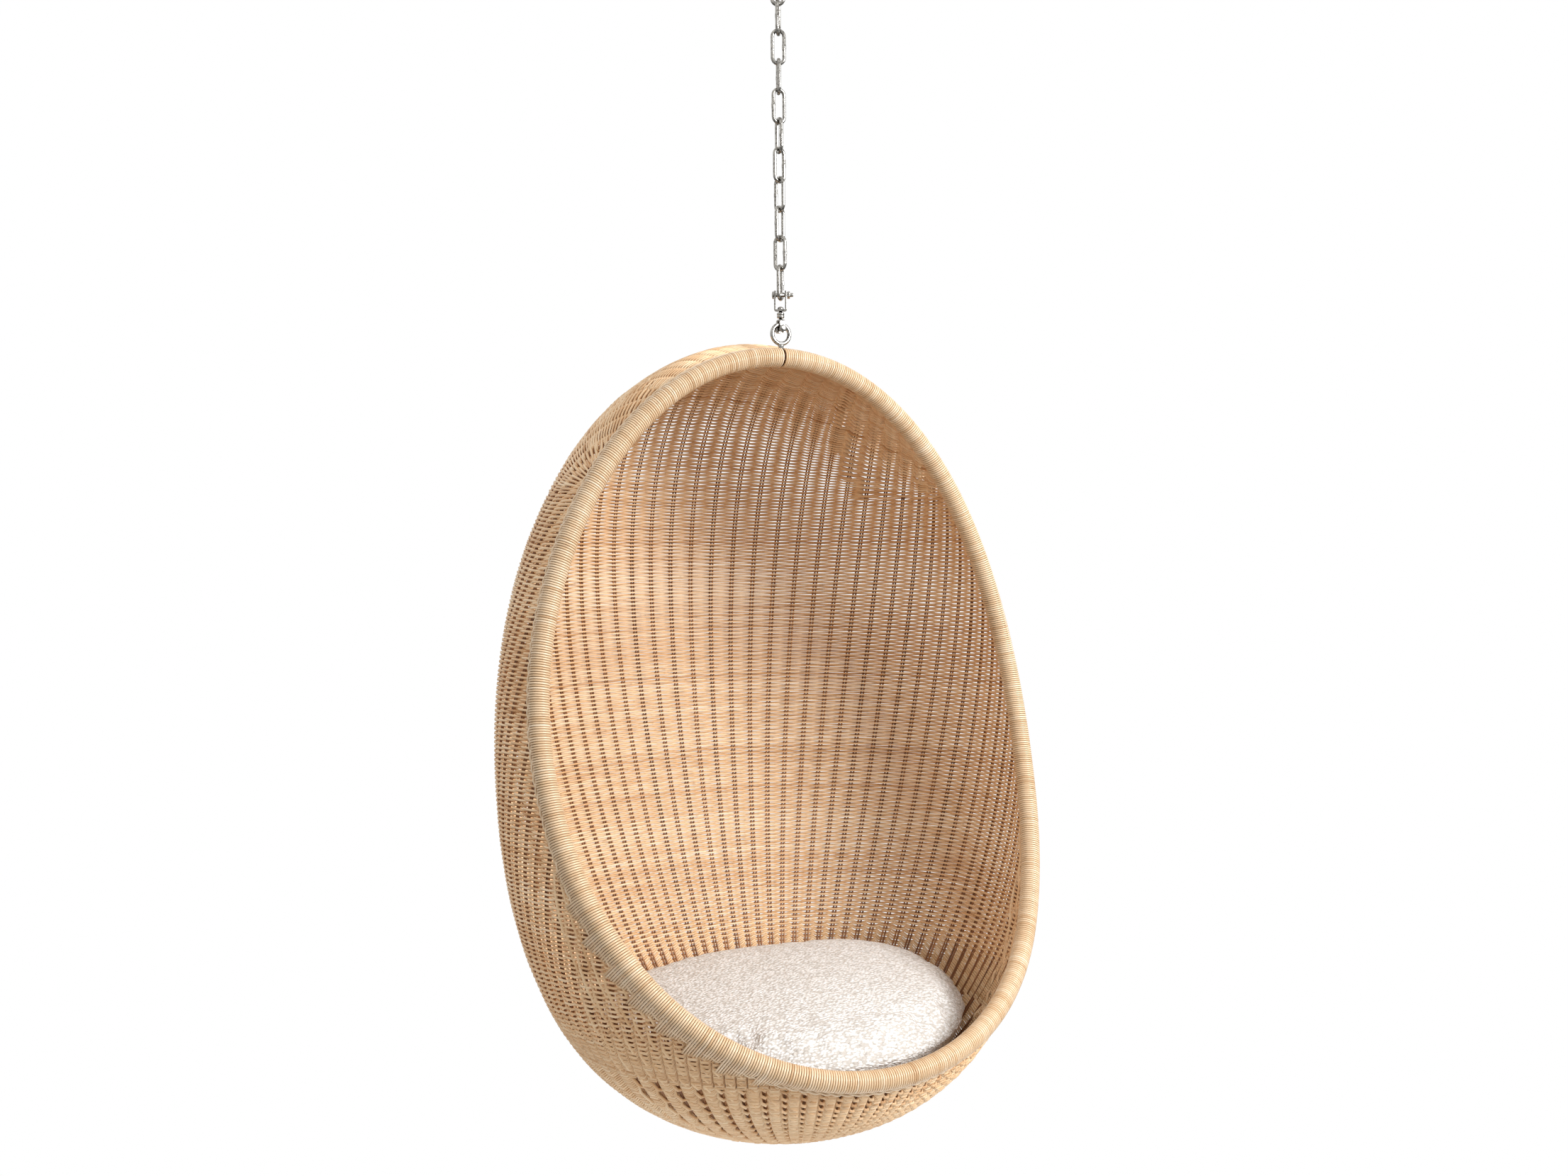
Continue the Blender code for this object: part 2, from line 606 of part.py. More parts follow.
def build_cushion():
    """The cover with its zip slot at the back edge, the zip and its puller, and the pad inside."""
    half = CUSHION_THICK / 2
    mid_z = EGG_FOOT_Z + CUSHION_TOP_ABOVE_FOOT - half
    clear = SHELL_THICK + CUSHION_CLEAR
    middle, _, back, _ = section((mid_z - EGG_FOOT_Z) / EGG_HEIGHT)
    edge_y = middle + back - clear
    zip_z = mid_z + CUSHION_LEAN * (back - clear) + 0.012
    cover = cushion_solid("cushion_cover", 0.0)
    hollow = cushion_solid("hollow", COVER_THICK)
    zip_half, tall = ZIP_LENGTH / 2, ZIP_WIDTH / 2
    slot = block("slot", (-zip_half - TOUCH, edge_y - 0.060, zip_z - tall - TOUCH),
                 (zip_half + TOUCH, edge_y + 0.05, zip_z + tall + TOUCH))
    combine(cover, [hollow, slot], "DIFFERENCE")
    dress(cover, (0.78, 0.74, 0.68), 0.9)
    pad = cushion_solid("cushion_pad", COVER_THICK + ZIP_THICK + 4 * TOUCH)
    dress(pad, (0.80, 0.77, 0.60), 0.9)
    track = cushion_solid("cushion_zip", 0.0)
    inner = cushion_solid("hollow", ZIP_THICK)
    keep = block("keep", (-zip_half, edge_y - 0.055, zip_z - tall),
                 (zip_half, edge_y + 0.05, zip_z + tall))
    combine(track, [inner], "DIFFERENCE")
    combine(track, [keep], "INTERSECT")
    dress(track, (0.55, 0.50, 0.44), 0.6)


def main():
    """Builds every piece."""
    clear_scene()
    build_ceiling_plate()
    build_ceiling_eye()
    for i in range(LINKS):
        build_link(i)
    build_jaw("upper_jaw", UPPER_JAW_INSIDE, 1, UPPER_FLOOR_Z, UPPER_PIN_Z, UPPER_YAW, TOUCH)
    build_pin("upper_pin", UPPER_JAW_INSIDE, UPPER_YAW, UPPER_PIN_Z)
    build_nut("upper_nut", UPPER_JAW_INSIDE, UPPER_YAW, UPPER_PIN_Z)
    build_post()
    build_collar()
    build_jaw("lower_jaw", LOWER_JAW_INSIDE, -1, LOWER_FLOOR_Z, LOWER_PIN_Z, 90, TOUCH)
    build_pin("lower_pin", LOWER_JAW_INSIDE, 90, LOWER_PIN_Z)
    build_nut("lower_nut", LOWER_JAW_INSIDE, 90, LOWER_PIN_Z)
    build_screw_eye()
    build_rim()
    build_shell()
    build_cushion()


main()
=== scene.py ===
"""The hanging egg chair's looks: woven cane, a wrapped rim, a padded seat and polished fittings.

Metres, +Z up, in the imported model's own frame: the origin is the middle of the ceiling plate's top face and the
open front faces -Y.
"""
import logging
import math
from dataclasses import dataclass, field
from enum import Enum

import bmesh
import bpy
import numpy as np
from mathutils import Matrix, Vector
from mathutils.bvhtree import BVHTree


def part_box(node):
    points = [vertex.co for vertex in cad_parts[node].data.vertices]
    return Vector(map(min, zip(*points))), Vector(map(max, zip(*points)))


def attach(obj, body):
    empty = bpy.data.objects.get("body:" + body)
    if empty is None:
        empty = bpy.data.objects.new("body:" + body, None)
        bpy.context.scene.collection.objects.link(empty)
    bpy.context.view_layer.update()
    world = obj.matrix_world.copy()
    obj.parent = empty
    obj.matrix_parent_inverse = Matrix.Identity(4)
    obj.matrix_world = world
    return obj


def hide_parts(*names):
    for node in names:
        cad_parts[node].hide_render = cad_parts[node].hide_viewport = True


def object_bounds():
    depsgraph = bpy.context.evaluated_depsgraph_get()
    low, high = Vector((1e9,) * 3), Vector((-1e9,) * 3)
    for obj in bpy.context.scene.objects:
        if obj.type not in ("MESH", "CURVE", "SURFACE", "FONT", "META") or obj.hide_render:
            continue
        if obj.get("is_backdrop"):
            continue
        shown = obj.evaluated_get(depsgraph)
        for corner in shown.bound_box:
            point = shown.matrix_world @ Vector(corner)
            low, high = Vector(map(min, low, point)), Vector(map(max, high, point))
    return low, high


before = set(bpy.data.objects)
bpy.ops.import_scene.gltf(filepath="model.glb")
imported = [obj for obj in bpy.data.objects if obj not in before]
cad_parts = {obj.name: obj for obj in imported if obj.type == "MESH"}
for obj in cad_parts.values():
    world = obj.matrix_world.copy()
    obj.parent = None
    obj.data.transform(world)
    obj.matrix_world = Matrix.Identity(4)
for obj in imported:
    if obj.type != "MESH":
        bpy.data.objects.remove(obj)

LOG = logging.getLogger("egg_chair")
MM = 0.001
SEED = 20
NOWHERE = -1.0  # stands for the depth of a point that no ray reached


class Body(Enum):
    """The moving bodies that pieces ride on."""

    CEILING = "ceiling_fitting"
    FIRST_LINK = "link_01"
    CHAIN_UPPER = "chain_upper"
    CHAIN_LOWER = "chain_lower"
    UPPER_JAW = "upper_jaw"
    LOWER_JAW = "lower_jaw"
    BASKET = "basket"
    CUSHION = "cushion"


# ---------------------------------------------------------------- small tools
def linear(code: str) -> tuple[float, float, float, float]:
    """Turns an sRGB hex colour into linear RGBA.

    Args:
        code: Six hex digits, with or without a leading #.

    Returns:
        The linear colour with an alpha of one.
    """
    parts = [int(code.lstrip("#")[i:i + 2], 16) / 255 for i in (0, 2, 4)]
    bent = [p / 12.92 if p <= 0.04045 else ((p + 0.055) / 1.055) ** 2.4 for p in parts]
    return (bent[0], bent[1], bent[2], 1.0)


def add(tree: bpy.types.NodeTree, kind: str, settings: dict | None = None,
        links: dict | None = None) -> bpy.types.Node:
    """Adds a shader node with its settings and incoming links.

    Args:
        tree: The material's node tree.
        kind: The node's type name, such as ShaderNodeMath.
        settings: Property names, or input names and indices, with their values.
        links: Input names or indices, each with the output socket that feeds it.

    Returns:
        The new node.
    """
    made = tree.nodes.new(kind)
    for name, value in (settings or {}).items():
        if isinstance(name, str) and hasattr(made, name):
            setattr(made, name, value)
        else:
            made.inputs[name].default_value = value
    for name, socket in (links or {}).items():
        tree.links.new(socket, made.inputs[name])
    return made


def ramp(tree: bpy.types.NodeTree, stops: list[tuple[float, str]],
         source: bpy.types.NodeSocket) -> bpy.types.Node:
    """Adds a colour ramp.

    Args:
        tree: The material's node tree.
        stops: Each stop's place from 0 to 1, and its hex colour.
        source: The output socket that drives it.

    Returns:
        The colour ramp node.
    """
    made = add(tree, "ShaderNodeValToRGB", links={"Fac": source})
    band = made.color_ramp
    while len(band.elements) < len(stops):
        band.elements.new(0.5)
    for element, (place, code) in zip(band.elements, stops):
        element.position, element.color = place, linear(code)
    return made


def blank(name: str) -> tuple[bpy.types.Material, bpy.types.NodeTree, bpy.types.Node]:
    """Starts a node material and returns it with its tree and its Principled shader."""
    mat = bpy.data.materials.new(name)
    mat.use_nodes = True
    return mat, mat.node_tree, mat.node_tree.nodes["Principled BSDF"]


def object_of(name: str, bm: bmesh.types.BMesh, smooth: bool = True) -> bpy.types.Object:
    """Turns a bmesh into a linked object whose faces point out.

    Args:
        name: The object's name.
        bm: The mesh, which is freed.
        smooth: Whether its faces are shaded smooth.

    Returns:
        The new object, at the origin.
    """
    bmesh.ops.remove_doubles(bm, verts=bm.verts[:], dist=1e-7)
    bmesh.ops.recalc_face_normals(bm, faces=bm.faces[:])
    mesh = bpy.data.meshes.new(name)
    bm.to_mesh(mesh)
    bm.free()
    if smooth:
        mesh.shade_smooth()
    obj = bpy.data.objects.new(name, mesh)
    bpy.context.scene.collection.objects.link(obj)
    return obj


def settle(obj: bpy.types.Object, finish: bpy.types.Material, body: Body, *replaced: str,
           slot: str = "") -> bpy.types.Object:
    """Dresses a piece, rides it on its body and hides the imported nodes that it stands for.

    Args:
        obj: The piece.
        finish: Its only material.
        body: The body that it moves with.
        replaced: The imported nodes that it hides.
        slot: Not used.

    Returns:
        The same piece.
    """
    obj.data.materials.clear()
    obj.data.materials.append(finish)
    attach(obj, body.value)
    if replaced:
        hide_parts(*replaced)
    LOG.info("%s: %d faces", obj.name, len(obj.data.polygons))
    return obj


def turned(bm: bmesh.types.BMesh, outline: list[tuple[float, float]], steps: int, matrix: Matrix) -> None:
    """Spins an (r, z) outline about Z inside a bmesh, then places it.

    Args:
        bm: The mesh that takes the shape.
        outline: Radius and height of each corner.
        steps: How many facets go round.
        matrix: Where the turned shape goes.
    """
    known = set(bm.verts)
    verts = [bm.verts.new((r, 0.0, z)) for r, z in outline]
    edges = [bm.edges.new(pair) for pair in zip(verts, verts[1:])]
    bmesh.ops.spin(bm, geom=verts + edges, cent=(0, 0, 0), axis=(0, 0, 1), angle=2 * math.pi,
                   steps=steps, use_merge=True)
    bmesh.ops.transform(bm, matrix=matrix, verts=[v for v in bm.verts if v not in known])


def ring(bm: bmesh.types.BMesh, radius: float, wire: float, steps: int, sides: int, matrix: Matrix) -> None:
    """Spins a circle of wire into a ring that stands in the XZ plane, then places it.

    Args:
        bm: The mesh that takes the ring.
        radius: From the ring's middle to the wire's.
        wire: The wire's radius.
        steps: How many facets go round the ring.
        sides: How many facets go round the wire.
        matrix: Where the ring goes.
    """
    known = set(bm.verts)
    verts = bmesh.ops.create_circle(bm, segments=sides, radius=wire)["verts"]
    bmesh.ops.transform(bm, matrix=Matrix.Translation((radius, 0, 0)), verts=verts)
    edges = list({e for v in verts for e in v.link_edges})
    bmesh.ops.spin(bm, geom=verts + edges, cent=(0, 0, 0), axis=(0, 1, 0), angle=2 * math.pi,
                   steps=steps, use_merge=True)
    bmesh.ops.transform(bm, matrix=matrix, verts=[v for v in bm.verts if v not in known])


def reach(node: str, yaw: float) -> tuple[float, float]:
    """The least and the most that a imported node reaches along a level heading, in degrees from +X."""
    heading = Vector((math.cos(math.radians(yaw)), math.sin(math.radians(yaw)), 0))
    along = [v.co.dot(heading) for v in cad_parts[node].data.vertices]
    return min(along), max(along)


def dress_packed(node: str, finish: bpy.types.Material) -> None:
    """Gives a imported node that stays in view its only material."""
    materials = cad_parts[node].data.materials
    materials.clear()
    materials.append(finish)


def about_z(degrees: float, z: float = 0.0) -> Matrix:
    """A turn about the hanging axis, at a height."""
    return Matrix.Translation((0, 0, z)) @ Matrix.Rotation(math.radians(degrees), 4, "Z")


def level(degrees: float, z: float) -> Matrix:
    """Lays a piece made along Z down, its +Z pointing to a heading, at a height."""
    return about_z(degrees, z) @ Matrix.Rotation(math.pi / 2, 4, "Y")


# ---------------------------------------------------------------- finishes
@dataclass(frozen=True)
class CaneFinish:
    """Peeled rattan cane: satin, straw to honey, each strand its own tone, with slow bands along its length."""

    name: str
    stops: tuple[tuple[float, str], ...]
    stain: str = "#8A5A34"
    stain_share: float = 0.30
    roughness: float = 0.46
    coat: float = 0.08
    fibre_mm: float = 0.6
    fibre_depth: float = 0.25 * MM
    bands_per_metre: float = 9.0
    marks_per_metre: float = 55.0
    seed_spread: float = 131.0  # how far apart in the noise two strands' seeds lie

    def build(self) -> bpy.types.Material:
        """Returns the material. It reads the strands' own cane attribute: tone, distance along, and seed."""
        mat, tree, shader = blank(self.name)
        strand = add(tree, "ShaderNodeAttribute", {"attribute_name": "cane"})
        parts = add(tree, "ShaderNodeSeparateXYZ", links={0: strand.outputs["Vector"]})
        # slow bands, a hand or so long, as the skin of the vine darkens and pales along it
        along = add(tree, "ShaderNodeMath", {"operation": "MULTIPLY", 1: self.bands_per_metre},
                    {0: parts.outputs[1]})
        which = add(tree, "ShaderNodeMath", {"operation": "MULTIPLY", 1: self.seed_spread},
                    {0: parts.outputs[2]})
        place = add(tree, "ShaderNodeCombineXYZ", links={0: along.outputs[0], 1: which.outputs[0]})
        bands = add(tree, "ShaderNodeTexNoise", {"Scale": 1.0, "Detail": 3.0, "Roughness": 0.6},
                    {"Vector": place.outputs[0]})
        mixed = add(tree, "ShaderNodeMix", {"data_type": "FLOAT", 0: 0.45},
                    {2: parts.outputs[0], 3: bands.outputs["Fac"]})
        tone = ramp(tree, list(self.stops), mixed.outputs[0])
        # leaf-scar rings and scuffs: short darker marks on some strands
        coords = add(tree, "ShaderNodeTexCoord")
        far = add(tree, "ShaderNodeMath", {"operation": "MULTIPLY", 1: self.marks_per_metre},
                  {0: parts.outputs[1]})
        spot = add(tree, "ShaderNodeCombineXYZ", links={0: far.outputs[0], 1: which.outputs[0]})
        marks = add(tree, "ShaderNodeTexNoise", {"Scale": 1.0, "Detail": 2.0}, {"Vector": spot.outputs[0]})
        chosen = add(tree, "ShaderNodeMapRange",
                     {"From Min": 0.62, "From Max": 0.74, "To Max": self.stain_share},
                     {"Value": marks.outputs["Fac"]})
        colour = add(tree, "ShaderNodeMix", {"data_type": "RGBA", 7: linear(self.stain)},
                     {0: chosen.outputs[0], 6: tone.outputs["Color"]})
        tree.links.new(colour.outputs[2], shader.inputs["Base Color"])
        fibre = add(tree, "ShaderNodeTexNoise", {"Scale": 1 / (self.fibre_mm * MM), "Detail": 2.0},
                    {"Vector": coords.outputs["Object"]})
        rough = add(tree, "ShaderNodeMapRange",
                    {"To Min": self.roughness - 0.08, "To Max": self.roughness + 0.10},
                    {"Value": fibre.outputs["Fac"]})
        tree.links.new(rough.outputs[0], shader.inputs["Roughness"])
        bump = add(tree, "ShaderNodeBump", {"Strength": 0.25, "Distance": self.fibre_depth},
                   {"Height": fibre.outputs["Fac"]})
        tree.links.new(bump.outputs[0], shader.inputs["Normal"])
        shader.inputs["Coat Weight"].default_value = self.coat
        shader.inputs["Coat Roughness"].default_value = 0.25
        return mat


@dataclass(frozen=True)
class SteelFinish:
    """Polished stainless steel: bright, with a fine drawn haze that mottles it lighter and darker."""

    name: str
    light: str = "#B9B7B2"
    dark: str = "#6A6763"
    roughness: float = 0.16
    grain_mm: float = 3.0

    def build(self) -> bpy.types.Material:
        """Returns the material, on Object coordinates."""
        mat, tree, shader = blank(self.name)
        coords = add(tree, "ShaderNodeTexCoord")
        haze = add(tree, "ShaderNodeTexNoise", {"Scale": 1 / (self.grain_mm * MM), "Detail": 4.0},
                   {"Vector": coords.outputs["Object"]})
        tone = ramp(tree, [(0.30, self.dark), (0.55, self.light)], haze.outputs["Fac"])
        tree.links.new(tone.outputs["Color"], shader.inputs["Base Color"])
        rough = add(tree, "ShaderNodeMapRange",
                    {"To Min": self.roughness - 0.05, "To Max": self.roughness + 0.12},
                    {"Value": haze.outputs["Fac"]})
        tree.links.new(rough.outputs[0], shader.inputs["Roughness"])
        shader.inputs["Metallic"].default_value = 1.0
        return mat


@dataclass(frozen=True)
class BoucleFinish:
    """Woven boucle upholstery cloth: off-white looped yarn with beige flecks, matt with a soft edge sheen, and
    painted shade that darkens each loop towards its edge.
    """

    name: str
    light: str = "#F1F0F0"
    middle: str = "#E2E0DD"
    fleck_and_shade: str = "#C4BEB7"
    yarn_mm: float = 3.0
    yarn_wander: float = 1.6 * MM
    pile: float = 1.6 * MM

    def build(self) -> bpy.types.Material:
        """Returns the material, on Object coordinates, so that no seam needs a UV map."""
        mat, tree, shader = blank(self.name)
        coords = add(tree, "ShaderNodeTexCoord")
        wander = add(tree, "ShaderNodeTexNoise", {"Scale": 160.0, "Detail": 1.0},
                     {"Vector": coords.outputs["Object"]})
        push = add(tree, "ShaderNodeVectorMath", {"operation": "SCALE", 3: self.yarn_wander},
                   {0: wander.outputs["Color"]})
        bent = add(tree, "ShaderNodeVectorMath", {"operation": "ADD"},
                   {0: coords.outputs["Object"], 1: push.outputs[0]})
        # each yarn loop is one smooth cell, drawn out along the weft
        drawn = add(tree, "ShaderNodeMapping", {"Rotation": (0.0, 0.0, 0.45), "Scale": (0.55, 1.0, 1.0)},
                    {"Vector": bent.outputs[0]})
        loops = add(tree, "ShaderNodeTexVoronoi", {"Scale": 1 / (self.yarn_mm * MM), "feature": "SMOOTH_F1",
                                                   "Smoothness": 0.35}, {"Vector": drawn.outputs[0]})
        hue = add(tree, "ShaderNodeSeparateColor", links={0: loops.outputs["Color"]})
        shade = add(tree, "ShaderNodeMapRange",
                    {"From Min": 0.15, "From Max": 0.75, "To Min": 1.0, "To Max": 0.0},
                    {"Value": loops.outputs["Distance"]})
        # each loop's colour darkens towards its edge, where it meets the next: painted shade between the loops;
        # the cell's random hue picks the real beige flecks
        picked = add(tree, "ShaderNodeMath", {"operation": "MULTIPLY"},
                     {0: shade.outputs[0], 1: hue.outputs[0]})
        tone = ramp(tree, [(0.02, self.fleck_and_shade), (0.22, self.middle), (0.5, self.light)], picked.outputs[0])
        tree.links.new(tone.outputs["Color"], shader.inputs["Base Color"])
        bump = add(tree, "ShaderNodeBump", {"Strength": 0.9, "Distance": self.pile},
                   {"Height": shade.outputs[0]})
        tree.links.new(bump.outputs[0], shader.inputs["Normal"])
        shader.inputs["Roughness"].default_value = 0.92
        shader.inputs["Sheen Weight"].default_value = 0.25
        shader.inputs["Sheen Roughness"].default_value = 0.5
        return mat


@dataclass(frozen=True)
class PlainFinish:
    """A matt moulded or painted surface with a faint mottling."""

    name: str
    light: str
    dark: str
    roughness: float = 0.6

    def build(self) -> bpy.types.Material:
        """Returns the material, on Object coordinates."""
        mat, tree, shader = blank(self.name)
        coords = add(tree, "ShaderNodeTexCoord")
        mottle = add(tree, "ShaderNodeTexNoise", {"Scale": 90.0, "Detail": 3.0},
                     {"Vector": coords.outputs["Object"]})
        tone = ramp(tree, [(0.3, self.dark), (0.7, self.light)], mottle.outputs["Fac"])
        tree.links.new(tone.outputs["Color"], shader.inputs["Base Color"])
        shader.inputs["Roughness"].default_value = self.roughness
        return mat


WEAVE_CANE = CaneFinish("peeled_rattan_core_woven", (
    (0.20, "#CA9A69"), (0.38, "#E2B98B"), (0.55, "#F0CFA6"), (0.75, "#FAE4C4")))
# the stakes are painted dark brown as painted shade, so that the gaps beside each pair read dark where the
# weavers pass behind
STAKE_CANE_PAINTED_SHADE = CaneFinish("rattan_core_stake_painted_shade", ((0.2, "#74492A"), (0.5, "#8F5F39"), (0.8, "#A9774C")))
WRAP_CANE = CaneFinish("lacquered_rattan_skin_wrapping", (
    (0.15, "#BC946B"), (0.35, "#D8B68E"), (0.55, "#E5C9A6"), (0.80, "#F2DEC3")),
    stain="#9A7048", roughness=0.34, coat=0.30)
# the pole is painted dark brown as painted shade: it shows only through the small gaps between the wrapping's
# turns, as the dark lines between them
POLE_CANE_PAINTED_SHADE = CaneFinish("rattan_pole_painted_shade", ((0.2, "#5F3C1F"), (0.8, "#8C6238")))
STEEL = SteelFinish("polished_stainless_steel")
BOUCLE = BoucleFinish("woven_boucle_cloth")
ZIP_TAPE = PlainFinish("nylon_coil_zip", "#D8CFC0", "#B9AE9D", 0.55)


# ---------------------------------------------------------------- the egg
@dataclass(frozen=True)
class EggForm:
    """The egg's outer surface, and the swept surface that its open front is cut to."""

    foot_z: float
    height: float = 1.178
    above_rim: float = 0.030
    half_width: float = 0.416
    back: float = 0.352
    front: float = 0.370
    foot_y: float = 0.023
    widest: float = 0.46
    deepest_back: float = 0.65
    deepest_front: float = 0.261
    width_curves: tuple[float, float] = (2.34, 2.00)
    back_curves: tuple[float, float] = (1.75, 2.30)
    front_curves: tuple[float, float] = (2.13, 1.92)
    rim_reach: float = 0.311
    rim_reach_drop: float = 1.000
    rim_sweep: float = 3.14

    @property
    def rim_top_z(self) -> float:
        """Height of the middle of the rim pole at its top."""
        return self.foot_z + self.height - self.above_rim

    def swell(self, t: np.ndarray, at: float, powers: tuple[float, float]) -> np.ndarray:
        """How wide a superellipse pair is at height share t, from 0 at either end to 1 at its widest."""
        away = np.where(t < at, (at - t) / at, (t - at) / (1 - at))
        power = np.where(t < at, powers[0], powers[1])
        return np.maximum(0.0, 1 - np.clip(away, 0, 1) ** power) ** (1 / power)

    def rim_y(self, z: np.ndarray) -> np.ndarray:
        """How far back the rim's surface is at a height."""
        drop = np.maximum(0.0, self.rim_top_z - z) / self.rim_reach_drop
        return -self.rim_reach * drop ** self.rim_sweep

    def section(self, t: np.ndarray) -> tuple[np.ndarray, ...]:
        """The middle's y, the half width, and the depths behind and before it, at height share t."""
        top = np.array(1 - self.above_rim / self.height)
        front = self.front * self.swell(top, self.deepest_front, self.front_curves)
        crown = (front - self.foot_y * (1 - top)) / top
        return (self.foot_y + (crown - self.foot_y) * t,
                self.half_width * self.swell(t, self.widest, self.width_curves),
                self.back * self.swell(t, self.deepest_back, self.back_curves),
                self.front * self.swell(t, self.deepest_front, self.front_curves))

    def level(self, p: np.ndarray) -> np.ndarray:
        """Below zero inside the egg, above zero outside it."""
        t = (p[..., 2] - self.foot_z) / self.height
        middle, wide, back, front = self.section(np.clip(t, 1e-6, 1 - 1e-6))
        off = p[..., 1] - middle
        found = (p[..., 0] / wide) ** 2 + (off / np.where(off > 0, back, front)) ** 2 - 1
        return np.where((t <= 0) | (t >= 1), np.maximum(found, 1.0), found)

    def normal(self, p: np.ndarray) -> np.ndarray:
        """Outward unit normals near the surface."""
        step, grad = 2e-4, np.empty_like(p)
        for axis in range(3):
            shift = np.zeros(3)
            shift[axis] = step
            grad[..., axis] = self.level(p + shift) - self.level(p - shift)
        grad = np.clip(grad, -1e3, 1e3)
        return grad / np.linalg.norm(grad, axis=-1, keepdims=True)

    def way_out(self, start: np.ndarray, heading: np.ndarray, far: float = 1.3) -> np.ndarray:
        """Where rays last leave the egg. A ray that never meets it gives not-a-number.

        Args:
            start: Ray starts, N by 3.
            heading: Unit directions, N by 3.
            far: How long the rays are.

        Returns:
            The points on the surface, N by 3.
        """
        steps = np.linspace(0, far, 90)
        inside = np.stack([self.level(start + s * heading) < 0 for s in steps], -1)
        last = inside.shape[-1] - 1 - np.argmax(inside[..., ::-1], -1)
        low = steps[last]
        high = low + steps[1]
        for _ in range(30):
            mid = (low + high) / 2
            within = self.level(start + mid[..., None] * heading) < 0
            low, high = np.where(within, mid, low), np.where(within, high, mid)
        found = start + low[..., None] * heading
        found[~inside.any(-1)] = np.nan
        return found

    def behind(self, p: np.ndarray) -> np.ndarray:
        """How far points are behind the rim's surface, square to it."""
        slope = (self.rim_y(p[..., 2] + 1e-4) - self.rim_y(p[..., 2] - 1e-4)) / 2e-4
        return (p[..., 1] - self.rim_y(p[..., 2])) / np.sqrt(1 + slope ** 2)

    def rim(self, count: int) -> np.ndarray:
        """The rim pole's centre line as an even closed loop of points, from its top and down the +X side."""
        low, high = 0.02, self.deepest_front
        for _ in range(60):
            half = (low + high) / 2
            middle, _, _, front = self.section(np.array(half))
            short = self.rim_y(np.array(self.foot_z + self.height * half)) < middle - front
            low, high = (half, high) if short else (low, half)
        top = 1 - self.above_rim / self.height
        t = high + (top - high) * (1 + np.cos(np.linspace(0, math.pi, 2000))) / 2
        middle, wide, back, front = self.section(t)
        z = self.foot_z + self.height * t
        off = self.rim_y(z) - middle
        share = off / np.where(off < 0, front, back)
        x = wide * np.sqrt(np.maximum(0, 1 - share ** 2))
        x[0] = x[-1] = 0.0
        side = np.stack([x, self.rim_y(z), z], -1)
        loop = np.concatenate([side, side[-2::-1] * [-1, 1, 1]])
        run = np.concatenate([[0], np.cumsum(np.linalg.norm(np.diff(loop, axis=0), axis=1))])
        want = np.linspace(0, run[-1], count, endpoint=False)
        return np.stack([np.interp(want, run, loop[:, a]) for a in range(3)], -1)


# ---------------------------------------------------------------- strands
@dataclass
class Strands:
    """Round strands that become one mesh. Each keeps its tone, its run and its seed in a cane attribute."""

    radius: float
    sides: int = 6
    lines: list[np.ndarray] = field(default_factory=list)
    tones: list[float] = field(default_factory=list)
    loops: list[bool] = field(default_factory=list)
    seeds: list[float] = field(default_factory=list)
    widths: list[np.ndarray | None] = field(default_factory=list)

    def lay(self, points: np.ndarray, tone: float, seed: float, closed: bool = False,
            widths: np.ndarray | None = None) -> None:
        """Adds one strand, with a share of the full radius at each point if it varies."""
        self.widths.append(widths)
        self.lines.append(np.asarray(points, float))
        self.tones.append(tone)
        self.seeds.append(seed)
        self.loops.append(closed)

    @property
    def count(self) -> int:
        """How many points the strands have in all."""
        return sum(len(line) for line in self.lines)

    def build(self, name: str) -> bpy.types.Object:
        """Sweeps every strand as a bevelled curve and returns one closed, smooth mesh."""
        curve = bpy.data.curves.new(name, "CURVE")
        curve.dimensions = "3D"
        curve.bevel_depth = self.radius
        curve.bevel_resolution = (self.sides - 4) // 2
        for line, closed, widths in zip(self.lines, self.loops, self.widths):
            spline = curve.splines.new("POLY")
            spline.points.add(len(line) - 1)
            if widths is not None:
                spline.points.foreach_set("radius", widths)
            spline.points.foreach_set("co", np.concatenate([line, np.ones((len(line), 1))], 1).ravel())
            spline.use_cyclic_u = closed
        swept = bpy.data.objects.new(name + "_path", curve)
        bpy.context.scene.collection.objects.link(swept)
        graph = bpy.context.evaluated_depsgraph_get()
        mesh = bpy.data.meshes.new_from_object(swept.evaluated_get(graph))
        bpy.data.objects.remove(swept, do_unlink=True)
        facts = []
        for line, tone, seed in zip(self.lines, self.tones, self.seeds):
            run = np.concatenate([[0], np.cumsum(np.linalg.norm(np.diff(line, axis=0), axis=1))])
            rows = np.stack([np.full(len(line), tone), run, np.full(len(line), seed)], -1)
            facts.append(np.repeat(rows, self.sides, axis=0))
        attribute = mesh.attributes.new("cane", "FLOAT_VECTOR", "POINT")
        attribute.data.foreach_set("vector", np.concatenate(facts).astype(np.float32).ravel())
        bm = bmesh.new()
        bm.from_mesh(mesh)
        open_edges = [e for e in bm.edges if e.is_boundary]
        if open_edges:
            bmesh.ops.holes_fill(bm, edges=open_edges, sides=self.sides)
        bm.to_mesh(mesh)
        bm.free()
        mesh.name = name
        mesh.shade_smooth()
        obj = bpy.data.objects.new(name, mesh)
        bpy.context.scene.collection.objects.link(obj)
        return obj


